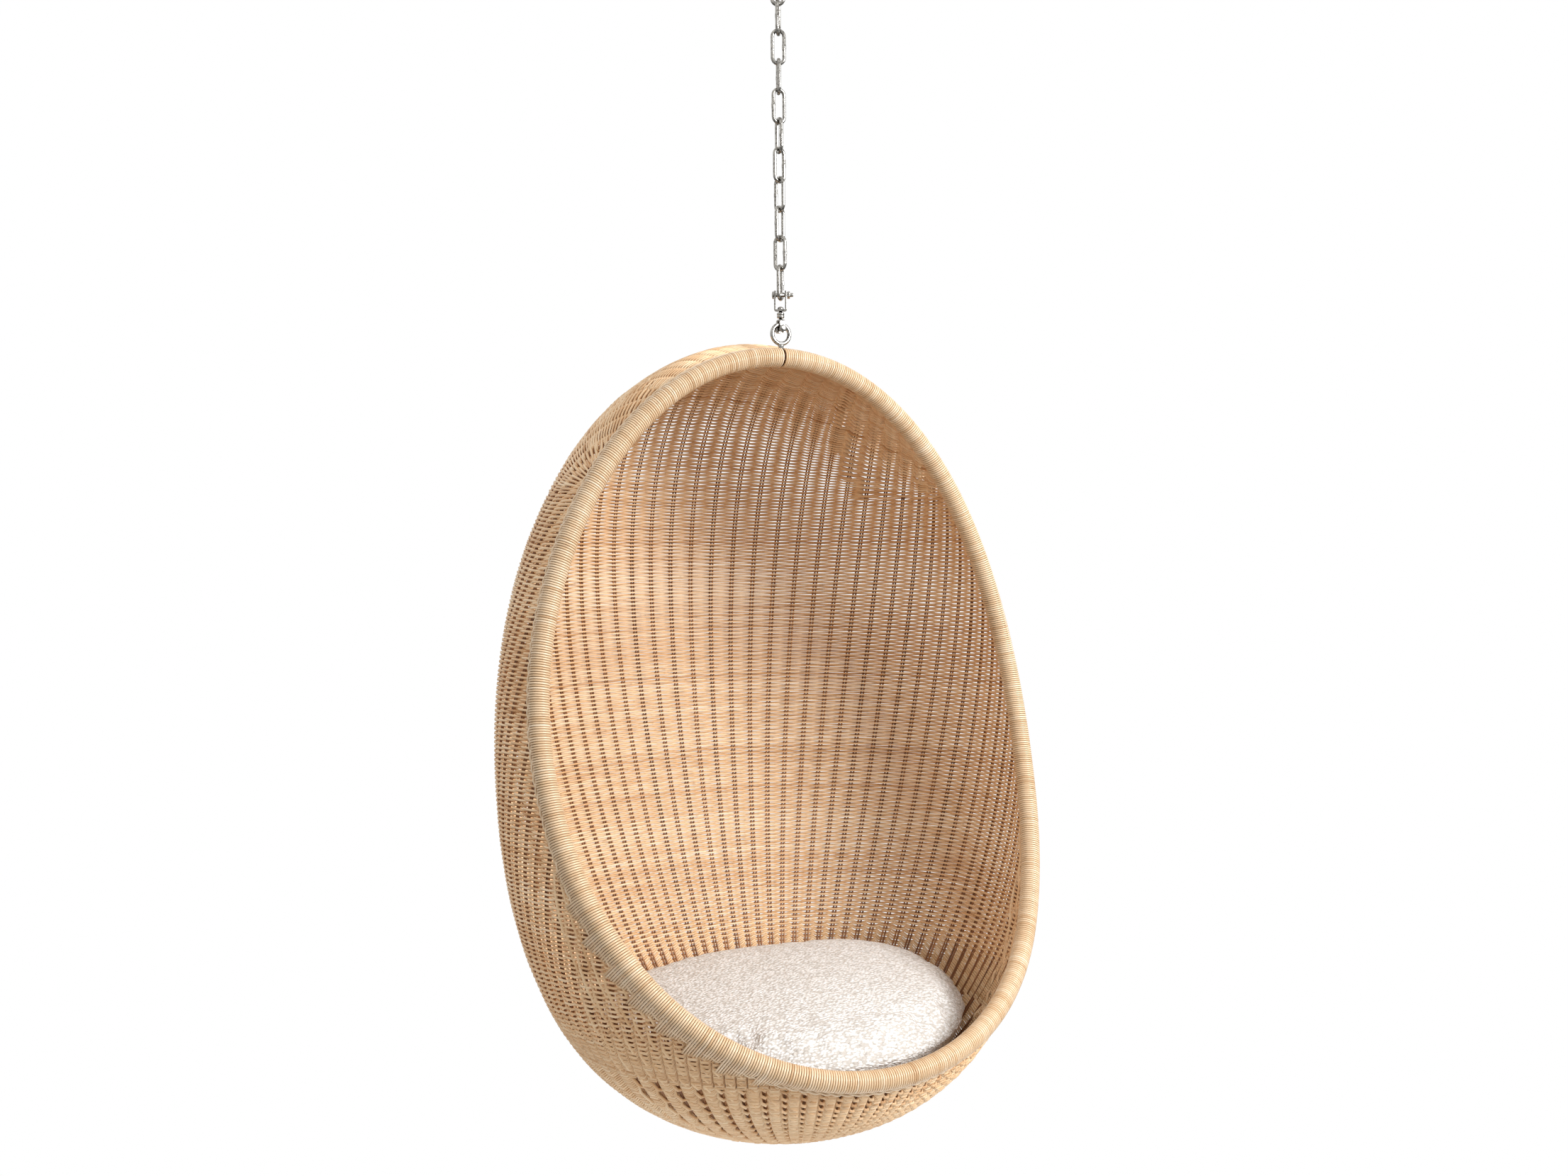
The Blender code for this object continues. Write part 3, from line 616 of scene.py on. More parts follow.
@dataclass
class Weave:
    """The basket's wall: paired stakes from the foot to the rim, and weavers before and behind them."""

    form: EggForm
    pitch: float = 3.4 * MM
    weaver_radius: float = 1.58 * MM
    stake_radius: float = 1.55 * MM
    pair_half: float = 2.3 * MM  # from a pair's middle to either stake's middle
    middle: float = -3.0 * MM  # the wall's middle, out from the egg's surface
    stakes: int = 108
    per_bay: int = 2
    hold: float = 5.4 * MM  # how far to either side of a pair's middle a weaver lies flat on it
    bow: float = 3.0 * MM  # how far a weaver's middle bows out over a pair
    crown_bow: float = 2.7 * MM  # the same near the rim's top, where the weave is beaten tighter
    crown_rib: float = 0.7 * MM  # how far the crown's ribs stand into the shell
    rib: float = 4.2 * MM  # how far the foot's ribs stand out of the wall
    sag: float = 2.2 * MM  # how far a foot row dips from valley to rib
    rib_height: float = 0.25  # over the foot, where the ribs have sunk into the wall
    foot_y: float = -0.050  # where the stakes start from
    meet_reach: float = 0.33  # how far before the rim's top the stakes would meet
    ring_height: float = 0.300  # over the foot, where loops round the foot have become level
    fan_drop: float = 0.200  # under the rim's top, the height of the line that the upper rows fan about
    fan_reach: float = 0.035
    rim_gap: float = 10.5 * MM
    least_bay: float = 17 * MM
    cut_bay: float = 31 * MM  # the usual bay of a row that the opening cuts
    hold_shares: tuple[float, float] = (0.14, 0.34)  # the least and most of a bay that a weaver lies flat
    rib_fade: float = 0.07
    crown_drop: float = 0.32  # under the rim's top, where the crown's tighter weave begins
    crown_fade: float = 0.10
    crown_swell: float = 0.10  # how much wider the crown's weavers are pressed
    width_shares: tuple[float, float] = (0.80, 1.55)
    wobble: float = 0.14 * MM
    tightest: float = 0.72  # share of the pitch under which every other row stops
    stake_step: float = 13 * MM
    most_points: int = 15500

    def __post_init__(self) -> None:
        """Works out the line that the stakes' planes share."""
        down = self.form.way_out(np.array([[0.0, self.foot_y, self.form.foot_z + self.ring_height]]),
                                 np.array([[0.0, 0, -1]]))
        self.low = down[0]
        self.high = np.array([0.0, -self.meet_reach, self.form.rim_top_z])
        self.rise = (self.high - self.low) / np.linalg.norm(self.high - self.low)
        self.across = np.array([0.0, self.rise[2], -self.rise[1]])
        self.turns = 2 * math.pi * np.arange(self.stakes * self.per_bay) / (self.stakes * self.per_bay)
        self.side = (np.cos(self.turns)[:, None] * np.array([1.0, 0, 0])
                     + np.sin(self.turns)[:, None] * self.across)

    def in_plane(self, point: np.ndarray, normal: np.ndarray) -> np.ndarray:
        """Where each stake plane, and each part of a bay, leaves the egg in one row's plane.

        Args:
            point: A point of the row's plane.
            normal: The row's plane's normal.

        Returns:
            A point on the egg for each turn, not-a-number where the row misses it.
        """
        start = self.low + self.rise * ((point - self.low) @ normal) / (self.rise @ normal)
        heading = self.side - self.rise * ((self.side @ normal) / (self.rise @ normal))[:, None]
        heading /= np.linalg.norm(heading, axis=1, keepdims=True)
        return self.form.way_out(np.broadcast_to(start, heading.shape), heading)

    def foot_rows(self) -> np.ndarray:
        """Loops round the foot, spaced evenly along every stake, up to the ring where rows are level."""
        top = self.form.foot_z + self.ring_height
        centre = self.low + self.rise * (top - self.low[2]) / self.rise[2]
        last = np.arctan2(self.rise[2], self.side[:, 2])
        swing = last[:, None] * np.linspace(0, 1, 90)
        heading = -np.cos(swing)[..., None] * self.rise + np.sin(swing)[..., None] * self.side[:, None]
        flat = heading.reshape(-1, 3)
        path = self.form.way_out(np.broadcast_to(centre, flat.shape), flat).reshape(heading.shape)
        run = np.concatenate([np.zeros((len(path), 1)),
                              np.cumsum(np.linalg.norm(np.diff(path, axis=1), axis=-1), axis=1)], 1)
        count = round(run[:, -1].mean() / (self.pitch * 1.05))
        rows = []
        for k in range(3, count):
            rows.append([[np.interp(run[i, -1] * k / count, run[i], path[i, :, a]) for a in range(3)]
                         for i in range(len(path))])
        return np.array(rows)

    def spaced(self, tries: list[np.ndarray], places: np.ndarray, share: float) -> np.ndarray:
        """Picks places so that rows are a pitch apart.

        Args:
            tries: Rows at finely spaced places.
            places: Those places.
            share: How far the spacing follows the back's corner rather than the middle of the back.

        Returns:
            The places of the rows.
        """
        runs = []
        for i in (len(self.turns) // 4, len(self.turns) * 3 // 8):
            line = np.array([row[i] for row in tries])
            gaps = np.nan_to_num(np.linalg.norm(np.diff(line, axis=0), axis=1))
            runs.append(np.concatenate([[0], np.cumsum(gaps)]))
        run = (1 - share) * runs[0] + share * runs[1]
        return np.interp(np.linspace(0, run[-1], round(run[-1] / self.pitch) + 1), run, places)

    def level_rows(self) -> np.ndarray:
        """Level rows, from the ring up to the fan."""
        low, high = self.form.foot_z + self.ring_height, self.form.rim_top_z - self.fan_drop
        up = np.array([0, 0, 1.0])
        tries = np.linspace(low, high, 60)
        places = self.spaced([self.in_plane(np.array([0, 0, z]), up) for z in tries], tries, 0.5)
        return np.array([self.in_plane(np.array([0, 0, z]), up) for z in places])

    def fan_rows(self) -> np.ndarray:
        """Rows that turn about a line before the shoulders, from level to nearly the rim's own plane."""
        point = np.array([0, -self.fan_reach, self.form.rim_top_z - self.fan_drop])

        def facing(turn: float) -> np.ndarray:
            """The normal of a row's plane that has turned so far."""
            return np.array([0, -math.sin(turn), math.cos(turn)])

        tries = np.radians(np.linspace(0, 86, 90))
        places = self.spaced([self.in_plane(point, facing(a)) for a in tries], tries, 0.0)
        return np.array([self.in_plane(point, facing(a)) for a in places[1:]])

    def build(self) -> list[bpy.types.Object]:
        """Weaves the wall and returns its pieces."""
        rng = np.random.default_rng(SEED)
        foot, flat, fan = self.foot_rows(), self.level_rows(), self.fan_rows()
        grid = np.concatenate([foot, flat, fan])
        LOG.info("weave: %d foot rows, %d level rows, %d fan rows", len(foot), len(flat), len(fan))
        behind = self.form.behind(grid)
        behind = np.where(np.isnan(behind), NOWHERE, behind)
        normals = self.form.normal(np.nan_to_num(grid))
        gap = np.linalg.norm(np.diff(grid, axis=0, append=2 * grid[-1:] - grid[-2:-1]), axis=-1)
        gap = np.nan_to_num(gap, nan=self.pitch)
        skips = self.skips(gap, len(foot) + len(flat))
        room = gap * 2.0 ** skips
        strides = self.strides(grid, len(foot))
        grids = {"at": grid, "out": normals, "rear": behind[..., None], "room": room[..., None]}
        pieces, batch = [], Strands(self.weaver_radius)
        drift = 0.5 + 0.07 * np.sin(np.cumsum(rng.normal(0, 0.16, len(grid))) * 2.2)
        for k in range(len(grid)):
            for points, widths, closed in self.row(k, grids, skips, int(strides[k]), rng):
                tone = float(np.clip(drift[k] + rng.normal(0, 0.13), 0, 1))
                batch.lay(points, tone, float(rng.random()), closed, widths)
            if batch.count > self.most_points:
                pieces.append(batch.build(f"weave_rows_{len(pieces) + 1:02d}"))
                batch = Strands(self.weaver_radius)
        if batch.count:
            pieces.append(batch.build(f"weave_rows_{len(pieces) + 1:02d}"))
        pieces.append(self.stake_piece(grid, normals, behind, strides, rng))
        return pieces

    def skips(self, gap: np.ndarray, first: int) -> np.ndarray:
        """How many halvings each point's rows need, where the fan pinches them together."""
        found = np.zeros(gap.shape, int)
        for halving in (1, 2, 3, 4):
            found[gap < self.pitch * self.tightest / 2 ** (halving - 1)] = halving
        found[:first] = 0
        return found

    def strides(self, grid: np.ndarray, foot_count: int) -> np.ndarray:
        """How many stakes apart the working stakes are in each row: closer to the foot, fewer are left."""
        found = np.ones(len(grid), int)
        for k in range(foot_count):
            around = np.linalg.norm(grid[k] - np.roll(grid[k], 1, 0), axis=1).sum()
            while around / (self.stakes / found[k]) < self.least_bay and found[k] < 4:
                found[k] *= 2
        return found

    def row(self, k: int, grids: dict[str, np.ndarray], skips: np.ndarray, stride: int,
            rng: np.random.Generator) -> list[tuple[np.ndarray, np.ndarray, bool]]:
        """One row's strands: flat over each pair of stakes, through the wall between them.

        Args:
            k: The row's number from the foot.
            grids: Points, outward normals, depths behind the rim and room, for every row and turn.
            skips: How many times every other row has stopped, at each point.
            stride: How many stakes apart this row's working stakes are.
            rng: The source of the row's unevenness.

        Returns:
            Each strand's points, its widths as shares of the full radius, and whether it closes.
        """
        working = self.stakes // stride
        stake = np.repeat(np.arange(working), 3)
        around = float(np.nansum(np.linalg.norm(np.diff(grids["at"][k], axis=0), axis=1)))
        full = not np.isnan(grids["at"][k]).any()
        bay = around / working if full else self.cut_bay
        flat = float(np.clip(self.hold / bay, *self.hold_shares))
        phase = np.tile([-flat, flat, 0.5], working)
        place = ((stake + phase) * stride * self.per_bay) % len(self.turns)
        before = np.floor(place).astype(int)
        share = (place - before)[:, None]
        after = (before + 1) % len(self.turns)
        at, out, rear, room = ((1 - share) * grids[n][k, before] + share * grids[n][k, after]
                               for n in ("at", "out", "rear", "room"))
        rear, room = rear[:, 0], room[:, 0]
        out = out / np.linalg.norm(out, axis=1, keepdims=True)
        near = np.round(place).astype(int) % len(self.turns)
        skip = skips[k, near]
        count = len(stake)

        def hand(which: np.ndarray) -> np.ndarray:
            """Plus one where the weaver passes outside a stake, minus one where it passes inside."""
            turn = which % working + (k >> skip)
            return np.where(turn % 2 == 0, 1.0, -1.0)

        one, two = hand(stake), hand(stake + 1)
        ribbed = np.clip((self.rib_height - (at[:, 2] - self.form.foot_z)) / self.rib_fade, 0, 1)
        crown = np.clip((at[:, 2] - (self.form.rim_top_z - self.crown_drop)) / self.crown_fade, 0, 1)
        bow = (self.bow + (self.crown_bow - self.bow) * crown) * (1 - 0.9 * ribbed)
        lift = bow * np.where(phase == 0.5, (one + two) / 2, one)
        valley = np.where(phase == 0.5, -1.0, 1.0)
        lift += (self.rib * ribbed - self.crown_rib * crown) * valley
        wobble = np.interp(np.arange(count), np.linspace(0, count, 30), rng.normal(0, self.wobble, 30))
        up = np.cross(out, np.roll(at, -1, 0) - np.roll(at, 1, 0))
        up /= np.maximum(1e-9, np.linalg.norm(up, axis=1, keepdims=True))
        up *= np.where(up[:, 2:] < 0, -1, 1)
        points = at + (lift + self.middle)[:, None] * out + (wobble - self.sag * ribbed * valley)[:, None] * up
        widths = room / (2 * self.weaver_radius) * (1.0 + self.crown_swell * crown)
        widths = np.clip(widths, *self.width_shares)
        working_here = k % 2 ** skip == 0
        for _ in range(2):  # a row that stops between its neighbours ends beneath them
            working_here = working_here | np.roll(working_here, 1) | np.roll(working_here, -1)
        keep = (rear > self.rim_gap) & working_here & ~np.isnan(points).any(1)
        if keep.all():
            return [(points, widths, True)]
        return self.cut(keep, points, rear, widths) if keep.any() else []

    def cut(self, keep: np.ndarray, points: np.ndarray, rear: np.ndarray,
            widths: np.ndarray) -> list[tuple[np.ndarray, np.ndarray, bool]]:
        """Cuts a row that doesn't go all the way round into strands that end under the wrapping.

        Args:
            keep: Which of the row's points are woven. At least one isn't.
            points: The row's points, all the way round.
            rear: How far each is behind the rim's surface.
            widths: Each point's share of the full radius.

        Returns:
            Each strand's points, its widths and that it is open.
        """
        shift = int(np.argmin(keep))
        keep, points, rear, widths = (np.roll(a, -shift, 0) for a in (keep, points, rear, widths))
        starts = np.flatnonzero(keep & ~np.roll(keep, 1))
        ends = np.flatnonzero(keep & ~np.roll(keep, -1)) + 1
        found = []
        for i, j in zip(starts, ends):
            line, wide = list(points[i:j]), list(widths[i:j])
            for inner, outer, where in ((i, i - 1, 0), (j - 1, j % len(keep), None)):
                if rear[outer] < self.rim_gap < rear[inner] and rear[outer] > NOWHERE + 0.1:
                    part = (rear[inner] - self.rim_gap) / (rear[inner] - rear[outer])
                    put = len(line) if where is None else where
                    line.insert(put, points[inner] + part * (points[outer] - points[inner]))
                    wide.insert(put, widths[inner])
            if len(line) > 1:
                found.append((np.array(line), np.array(wide), False))
        return found

    def stake_piece(self, grid: np.ndarray, normals: np.ndarray, behind: np.ndarray, strides: np.ndarray,
                    rng: np.random.Generator) -> bpy.types.Object:
        """Lays the paired stakes through the middle of the wall.

        Args:
            grid: The rows' points on the egg.
            normals: The egg's outward normals there.
            behind: How far each point is behind the rim's surface.
            strides: How many stakes apart each row's working stakes are.
            rng: The source of the stakes' tones.

        Returns:
            The stakes as one piece.
        """
        batch = Strands(self.stake_radius)
        for j in range(self.stakes):
            i = j * self.per_bay
            rows = [k for k in range(len(grid)) if j % strides[k] == 0 and behind[k, i] > self.rim_gap]
            if len(rows) < 6:
                continue
            chosen, last = [rows[0]], grid[rows[0], i]
            for k in rows[1:]:
                if np.linalg.norm(grid[k, i] - last) > self.stake_step or k == rows[-1]:
                    chosen.append(k)
                    last = grid[k, i]
            at, out = grid[chosen, i], normals[chosen, i]
            beside = grid[chosen, (i + 1) % len(self.turns)] - grid[chosen, i - 1]
            beside /= np.linalg.norm(beside, axis=1, keepdims=True)
            for side in (-1, 1):
                line = at + side * self.pair_half * beside + self.middle * out
                batch.lay(line, float(rng.random()), float(rng.random()))
        return batch.build("weave_stakes")


@dataclass
class Rim:
    """The rim pole's cane wrapping, and the twisted border strand that finishes the weave behind it."""

    form: EggForm
    pole_radius: float = 11.8 * MM
    cane_radius: float = 1.56 * MM
    pitch: float = 3.38 * MM
    turn_points: int = 15
    tail_reach: float = 0.026
    eye_gap: float = 2.0 * MM
    border_radius: float = 1.55 * MM
    border_twist: float = 0.030  # along the rim for one full twist
    border_back: float = 0.0172
    border_out: float = 4.6 * MM

    def frames(self, line: np.ndarray) -> tuple[np.ndarray, np.ndarray, np.ndarray]:
        """The rim's direction, the way into the wall and the way out of the egg, at each point."""
        along = np.roll(line, -1, 0) - np.roll(line, 1, 0)
        along /= np.linalg.norm(along, axis=1, keepdims=True)
        out = self.form.normal(line)
        out -= (out * along).sum(1, keepdims=True) * along
        out /= np.linalg.norm(out, axis=1, keepdims=True)
        back = np.cross(out, along)
        flip = np.sign(back[:, 1:2])
        return along, back * np.where(flip == 0, 1, flip), out

    def tails(self, line: np.ndarray, rng: np.random.Generator) -> np.ndarray:
        """How far the wrapping reaches over the weave: further low on the sides, in saw teeth."""
        drop = (self.form.rim_top_z - line[:, 2])
        low = np.clip((drop - 0.60) / 0.18, 0, 1)
        side = np.clip((np.abs(line[:, 0]) - 0.10) / 0.10, 0, 1)
        count = len(line)
        tooth = (np.arange(count) * self.pitch / 0.046) % 1.0
        tooth = np.where(line[:, 0] > 0, 1 - tooth, tooth)
        return 0.0150 + self.tail_reach * low * side * (0.25 + 0.75 * tooth) + rng.normal(0, 0.4 * MM, count)

    def surface(self, start: np.ndarray, out: np.ndarray) -> np.ndarray:
        """How far out each start has to move to lie on the egg."""
        low, high = np.full(len(start), -0.030), np.full(len(start), 0.020)
        for _ in range(30):
            mid = (low + high) / 2
            within = self.form.level(start + mid[:, None] * out) < 0
            low, high = np.where(within, mid, low), np.where(within, high, mid)
        return low

    def build(self) -> list[bpy.types.Object]:
        """Wraps the pole and twists the border, and returns the pieces."""
        rng = np.random.default_rng(SEED + 1)
        dense = self.form.rim(4000)
        length = np.linalg.norm(dense - np.roll(dense, 1, 0), axis=1).sum()
        count = int(length / self.pitch)
        line = self.form.rim(count)
        along, back, out = self.frames(line)
        reach = self.tails(line, rng)
        rest = self.surface(line + reach[:, None] * back, out) + 1.6 * MM
        radius = self.pole_radius + self.cane_radius - 0.15 * MM
        halves = {"left": Strands(self.cane_radius), "right": Strands(self.cane_radius)}
        slip = np.interp(np.arange(count), np.linspace(0, count, 40), rng.normal(0, 0.5 * MM, 40))
        tone_run = 0.55 + 0.06 * np.sin(np.cumsum(rng.normal(0, 0.22, count)))
        for i in range(count):
            run = min(i, count - i) * self.pitch
            if run < self.eye_gap:
                continue
            point = np.array([reach[i], rest[i]])
            far = np.linalg.norm(point)
            leave = math.atan2(point[1], point[0]) + math.acos(min(1.0, radius / far))
            swing = np.linspace(math.radians(-14), -(2 * math.pi - leave), self.turn_points)
            flat = [(radius * math.cos(a), radius * math.sin(a)) for a in swing]
            flat += [((flat[-1][0] + point[0]) / 2, (flat[-1][1] + point[1]) / 2), tuple(point),
                     (point[0] + 2.2 * MM, point[1] - 4.5 * MM)]
            flat = np.array(flat)
            lean = np.linspace(-0.5, 0.5, len(flat)) * self.pitch + slip[i]
            path = line[i] + flat[:, :1] * back[i] + flat[:, 1:] * out[i] + lean[:, None] * along[i]
            tone = float(np.clip(tone_run[i] + rng.normal(0, 0.12), 0, 1))
            if rng.random() < 0.02:
                tone *= 0.35
            halves["right" if line[i, 0] < 0 else "left"].lay(path, tone, float(rng.random()))
        pieces = [strands.build(f"rim_wrapping_{side}") for side, strands in halves.items()]
        pieces.append(self.border(rng))
        return pieces

    def border(self, rng: np.random.Generator) -> bpy.types.Object:
        """Two strands twisted round each other along the rim."""
        line = self.form.rim(900)
        _, back, out = self.frames(line)
        run = np.concatenate([[0], np.cumsum(np.linalg.norm(np.diff(line, axis=0), axis=1))])
        twists = round((run[-1] + np.linalg.norm(line[0] - line[-1])) / self.border_twist)
        angle = 2 * math.pi * twists * np.arange(len(line)) / len(line)
        batch = Strands(self.border_radius)
        for start in (0.0, math.pi):
            path = (line + (self.border_back + 1.5 * MM * np.cos(angle + start))[:, None] * back
                    + (self.border_out + 1.5 * MM * np.sin(angle + start))[:, None] * out)
            batch.lay(path, 0.75 + 0.1 * float(rng.random()), float(rng.random()), True)
        return batch.build("rim_border_twist")


# ---------------------------------------------------------------- chain and fittings
@dataclass
class Chain:
    """Long links of round wire, each a quarter turn and a little from the last, with a weld on one side."""

    wire: float = 2.75 * MM
    sides: int = 14
    bend_steps: int = 14
    weld: float = 1.16
    first_yaw: float = -216.0
    turn: float = 98.0
    slack: float = 9.0
    links: int = 11
    joins: tuple[int, int] = (1, 6)
    bead: dict[float, float] = field(default_factory=lambda: {0.42: 0.7, 0.5: 1.0, 0.58: 0.7})

    def yaw(self, i: int) -> float:
        """Degrees that a link's flat is turned from the XZ plane."""
        return self.first_yaw + i * self.turn - (self.slack if i % 2 else 0.0)

    def body(self, i: int) -> Body:
        """The body that a link rides on."""
        if i < self.joins[0]:
            return Body.FIRST_LINK
        return Body.CHAIN_UPPER if i < self.joins[1] else Body.CHAIN_LOWER

    def link(self, i: int) -> bpy.types.Object:
        """Bends one link: two half turns of round wire, joined by two straights, one with its weld."""
        node = f"chain_link_{i + 1:02d}"
        low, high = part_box(node)
        middle, tall = (low.z + high.z) / 2, high.z - low.z
        bend = max(abs(end) for end in reach(node, self.yaw(i))) - self.wire
        straight = tall / 2 - self.wire - bend
        bm = bmesh.new()
        first = list(bmesh.ops.create_circle(bm, segments=self.sides, radius=self.wire)["verts"])
        bmesh.ops.transform(bm, matrix=Matrix.Translation((bend, 0, straight)), verts=first)

        def spin(verts: list, edges: list, z: float) -> tuple[list, list]:
            """Bends the wire through half a turn about a height, and returns its new end."""
            got = bmesh.ops.spin(bm, geom=verts + edges, cent=(0, 0, z), axis=(0, -1, 0), angle=math.pi,
                                 steps=self.bend_steps)["geom_last"]
            return ([g for g in got if isinstance(g, bmesh.types.BMVert)],
                    [g for g in got if isinstance(g, bmesh.types.BMEdge)])

        def run(edges: list, shares: tuple[float, ...], rise: float) -> tuple[list, list]:
            """Draws the wire out straight in steps, and returns its new end."""
            for before, share in zip((0.0,) + shares, shares):
                got = bmesh.ops.extrude_edge_only(bm, edges=edges)["geom"]
                verts = [g for g in got if isinstance(g, bmesh.types.BMVert)]
                edges = [g for g in got if isinstance(g, bmesh.types.BMEdge)
                         and all(v in verts for v in g.verts)]
                bmesh.ops.translate(bm, verts=verts, vec=(0, 0, rise * (share - before)))
            return verts, edges

        verts, edges = spin(first, list({e for v in first for e in v.link_edges}), straight)
        verts, edges = run(edges, (0.5, 1.0), -2 * straight)
        verts, edges = spin(verts, edges, -straight)
        run(edges, (0.36, *self.bead, 0.64, 1.0), 2 * straight)
        self.swell_weld(bm, bend, straight)
        bmesh.ops.remove_doubles(bm, verts=bm.verts[:], dist=1e-5)
        bmesh.ops.transform(bm, matrix=about_z(self.yaw(i), middle), verts=bm.verts[:])
        return object_of(f"{node}_wire", bm)

    def swell_weld(self, bm: bmesh.types.BMesh, bend: float, straight: float) -> None:
        """Fattens the wire where the +X straight is welded.

        Args:
            bm: The link, standing in the XZ plane.
            bend: From the link's middle to the wire's.
            straight: Half the straight's length.
        """
        for v in bm.verts:
            share = (v.co.z + straight) / (2 * straight)
            for place, much in self.bead.items():
                if v.co.x > 0 and abs(share - place) < 0.01:
                    fat = 1 + (self.weld - 1) * much
                    v.co.x = bend + (v.co.x - bend) * fat
                    v.co.y *= fat

    def build(self, steel: bpy.types.Material) -> None:
        """Makes every link and rides it on its body."""
        for i in range(self.links):
            node = f"chain_link_{i + 1:02d}"
            settle(self.link(i), steel, self.body(i), node, slot=node)


@dataclass
class Fittings:
    """The ceiling eye, the swivel's two jaws with their pins, and the screw eye in the rim."""

    upper_yaw: float = -28.0
    jaw_wall: float = 2.6 * MM
    jaw_depth: float = 8.5 * MM
    edge: float = 0.5 * MM
    steps: int = 32

    def strap(self, name: str, node: str, yaw: float) -> bpy.types.Object:
        """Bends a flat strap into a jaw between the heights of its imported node, with rounded edges.

        Args:
            name: The piece's name. An upper jaw opens upwards and a lower one downwards.
            node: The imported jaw.
            yaw: The heading of the pin through it, in degrees from +X.

        Returns:
            The jaw.
        """
        low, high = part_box(node)
        half = max(abs(end) for end in reach(node, yaw)) - self.jaw_wall / 2
        up = 1 if name.startswith("upper") else -1
        base, tip = (low.z, high.z) if up > 0 else (high.z, low.z)
        floor = base + up * 1.8 * MM
        bend = min(3.2 * MM, half * 0.6)
        quarter = [math.pi / 2 * k / 6 for k in range(7)]
        path = [(-half, tip)]
        path += [(-half + bend * (1 - math.cos(a)), floor + up * bend * (1 - math.sin(a))) for a in quarter]
        path += [(half - bend * (1 - math.cos(a)), floor + up * bend * (1 - math.sin(a)))
                 for a in reversed(quarter)]
        path.append((half, tip))
        bm = bmesh.new()
        verts = [bm.verts.new((x, -self.jaw_depth / 2, z)) for x, z in path]
        edges = [bm.edges.new(pair) for pair in zip(verts, verts[1:])]
        got = bmesh.ops.extrude_edge_only(bm, edges=edges)["geom"]
        bmesh.ops.translate(bm, verts=[g for g in got if isinstance(g, bmesh.types.BMVert)],
                            vec=(0, self.jaw_depth, 0))
        bmesh.ops.remove_doubles(bm, verts=bm.verts[:], dist=1e-6)
        bmesh.ops.recalc_face_normals(bm, faces=bm.faces[:])
        bmesh.ops.solidify(bm, geom=bm.verts[:] + bm.edges[:] + bm.faces[:], thickness=self.jaw_wall)
        widen = (half + self.jaw_wall / 2) / max(abs(v.co.x) for v in bm.verts)
        bmesh.ops.scale(bm, vec=(widen, 1, 1), verts=bm.verts[:])
        sharp = [e for e in bm.edges if len(e.link_faces) == 2 and e.calc_face_angle(0) > math.radians(50)]
        bmesh.ops.bevel(bm, geom=sharp, offset=self.edge, segments=2, profile=0.5, affect="EDGES", material=-1)
        bmesh.ops.transform(bm, matrix=about_z(yaw), verts=bm.verts[:])
        return object_of(name, bm, smooth=False)

    def pin(self, name: str, node: str, yaw: float, head: float = 5.6 * MM) -> bpy.types.Object:
        """Turns a headed pin with a rounded head and tail, lying level along a heading."""
        low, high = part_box(node)
        z = (low.z + high.z) / 2
        start, end = reach(node, yaw)
        shaft, tall, round_off = 3.0 * MM, 3.0 * MM, 1.2 * MM
        outline = [(0, start)]
        outline += [(head * math.sin(a), start + tall * 0.55 * (1 - math.cos(a)))
                    for a in np.linspace(0.25, math.pi / 2, 6)]
        outline += [(head, start + tall), (shaft, start + tall), (shaft, end - round_off)]
        outline += [(shaft - round_off * (1 - math.cos(a)), end - round_off * (1 - math.sin(a)))
                    for a in np.linspace(0.2, math.pi / 2, 5)]
        outline.append((0, end))
        bm = bmesh.new()
        turned(bm, outline, self.steps, level(yaw, z))
        return object_of(name, bm)

    def nut(self, name: str, node: str, yaw: float) -> bpy.types.Object:
        """Turns a ring, then draws its rim out to six flats with chamfered corners."""
        low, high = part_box(node)
        z = (low.z + high.z) / 2
        start, end = reach(node, yaw)
        flat, bore, chamfer = 4.9 * MM, 3.25 * MM, 0.5 * MM
        rim = flat / math.cos(math.pi / 6)
        outline = [(bore, start), (flat * 0.98, start), (rim, start + chamfer), (rim, end - chamfer),
                   (flat * 0.98, end), (bore, end), (bore, start)]
        bm = bmesh.new()
        turned(bm, outline, 48, Matrix.Identity(4))
        for v in bm.verts:
            r, a = math.hypot(v.co.x, v.co.y), math.atan2(v.co.y, v.co.x)
            six = flat / math.cos((a % (math.pi / 3)) - math.pi / 6)
            if r > six:
                v.co.x *= six / r
                v.co.y *= six / r
        bmesh.ops.transform(bm, matrix=level(yaw, z), verts=bm.verts[:])
        return object_of(name, bm, smooth=False)

    def eye(self, name: str, yaw: float, ring_radius: float, wire: float, centre_z: float,
            stem: list[tuple[float, float]]) -> bpy.types.Object:
        """A ring of round wire on a turned stem, joined where they meet.

        Args:
            name: The piece's name.
            yaw: The heading of the ring's flat, in degrees from +X.
            ring_radius: From the ring's middle to the wire's.
            wire: The wire's radius.
            centre_z: Height of the ring's middle.
            stem: Radius and height of each corner of the stem.

        Returns:
            The eye.
        """
        bm = bmesh.new()
        ring(bm, ring_radius, wire, 56, 20, about_z(yaw, centre_z))
        turned(bm, stem, self.steps, Matrix.Identity(4))
        return object_of(name, bm)

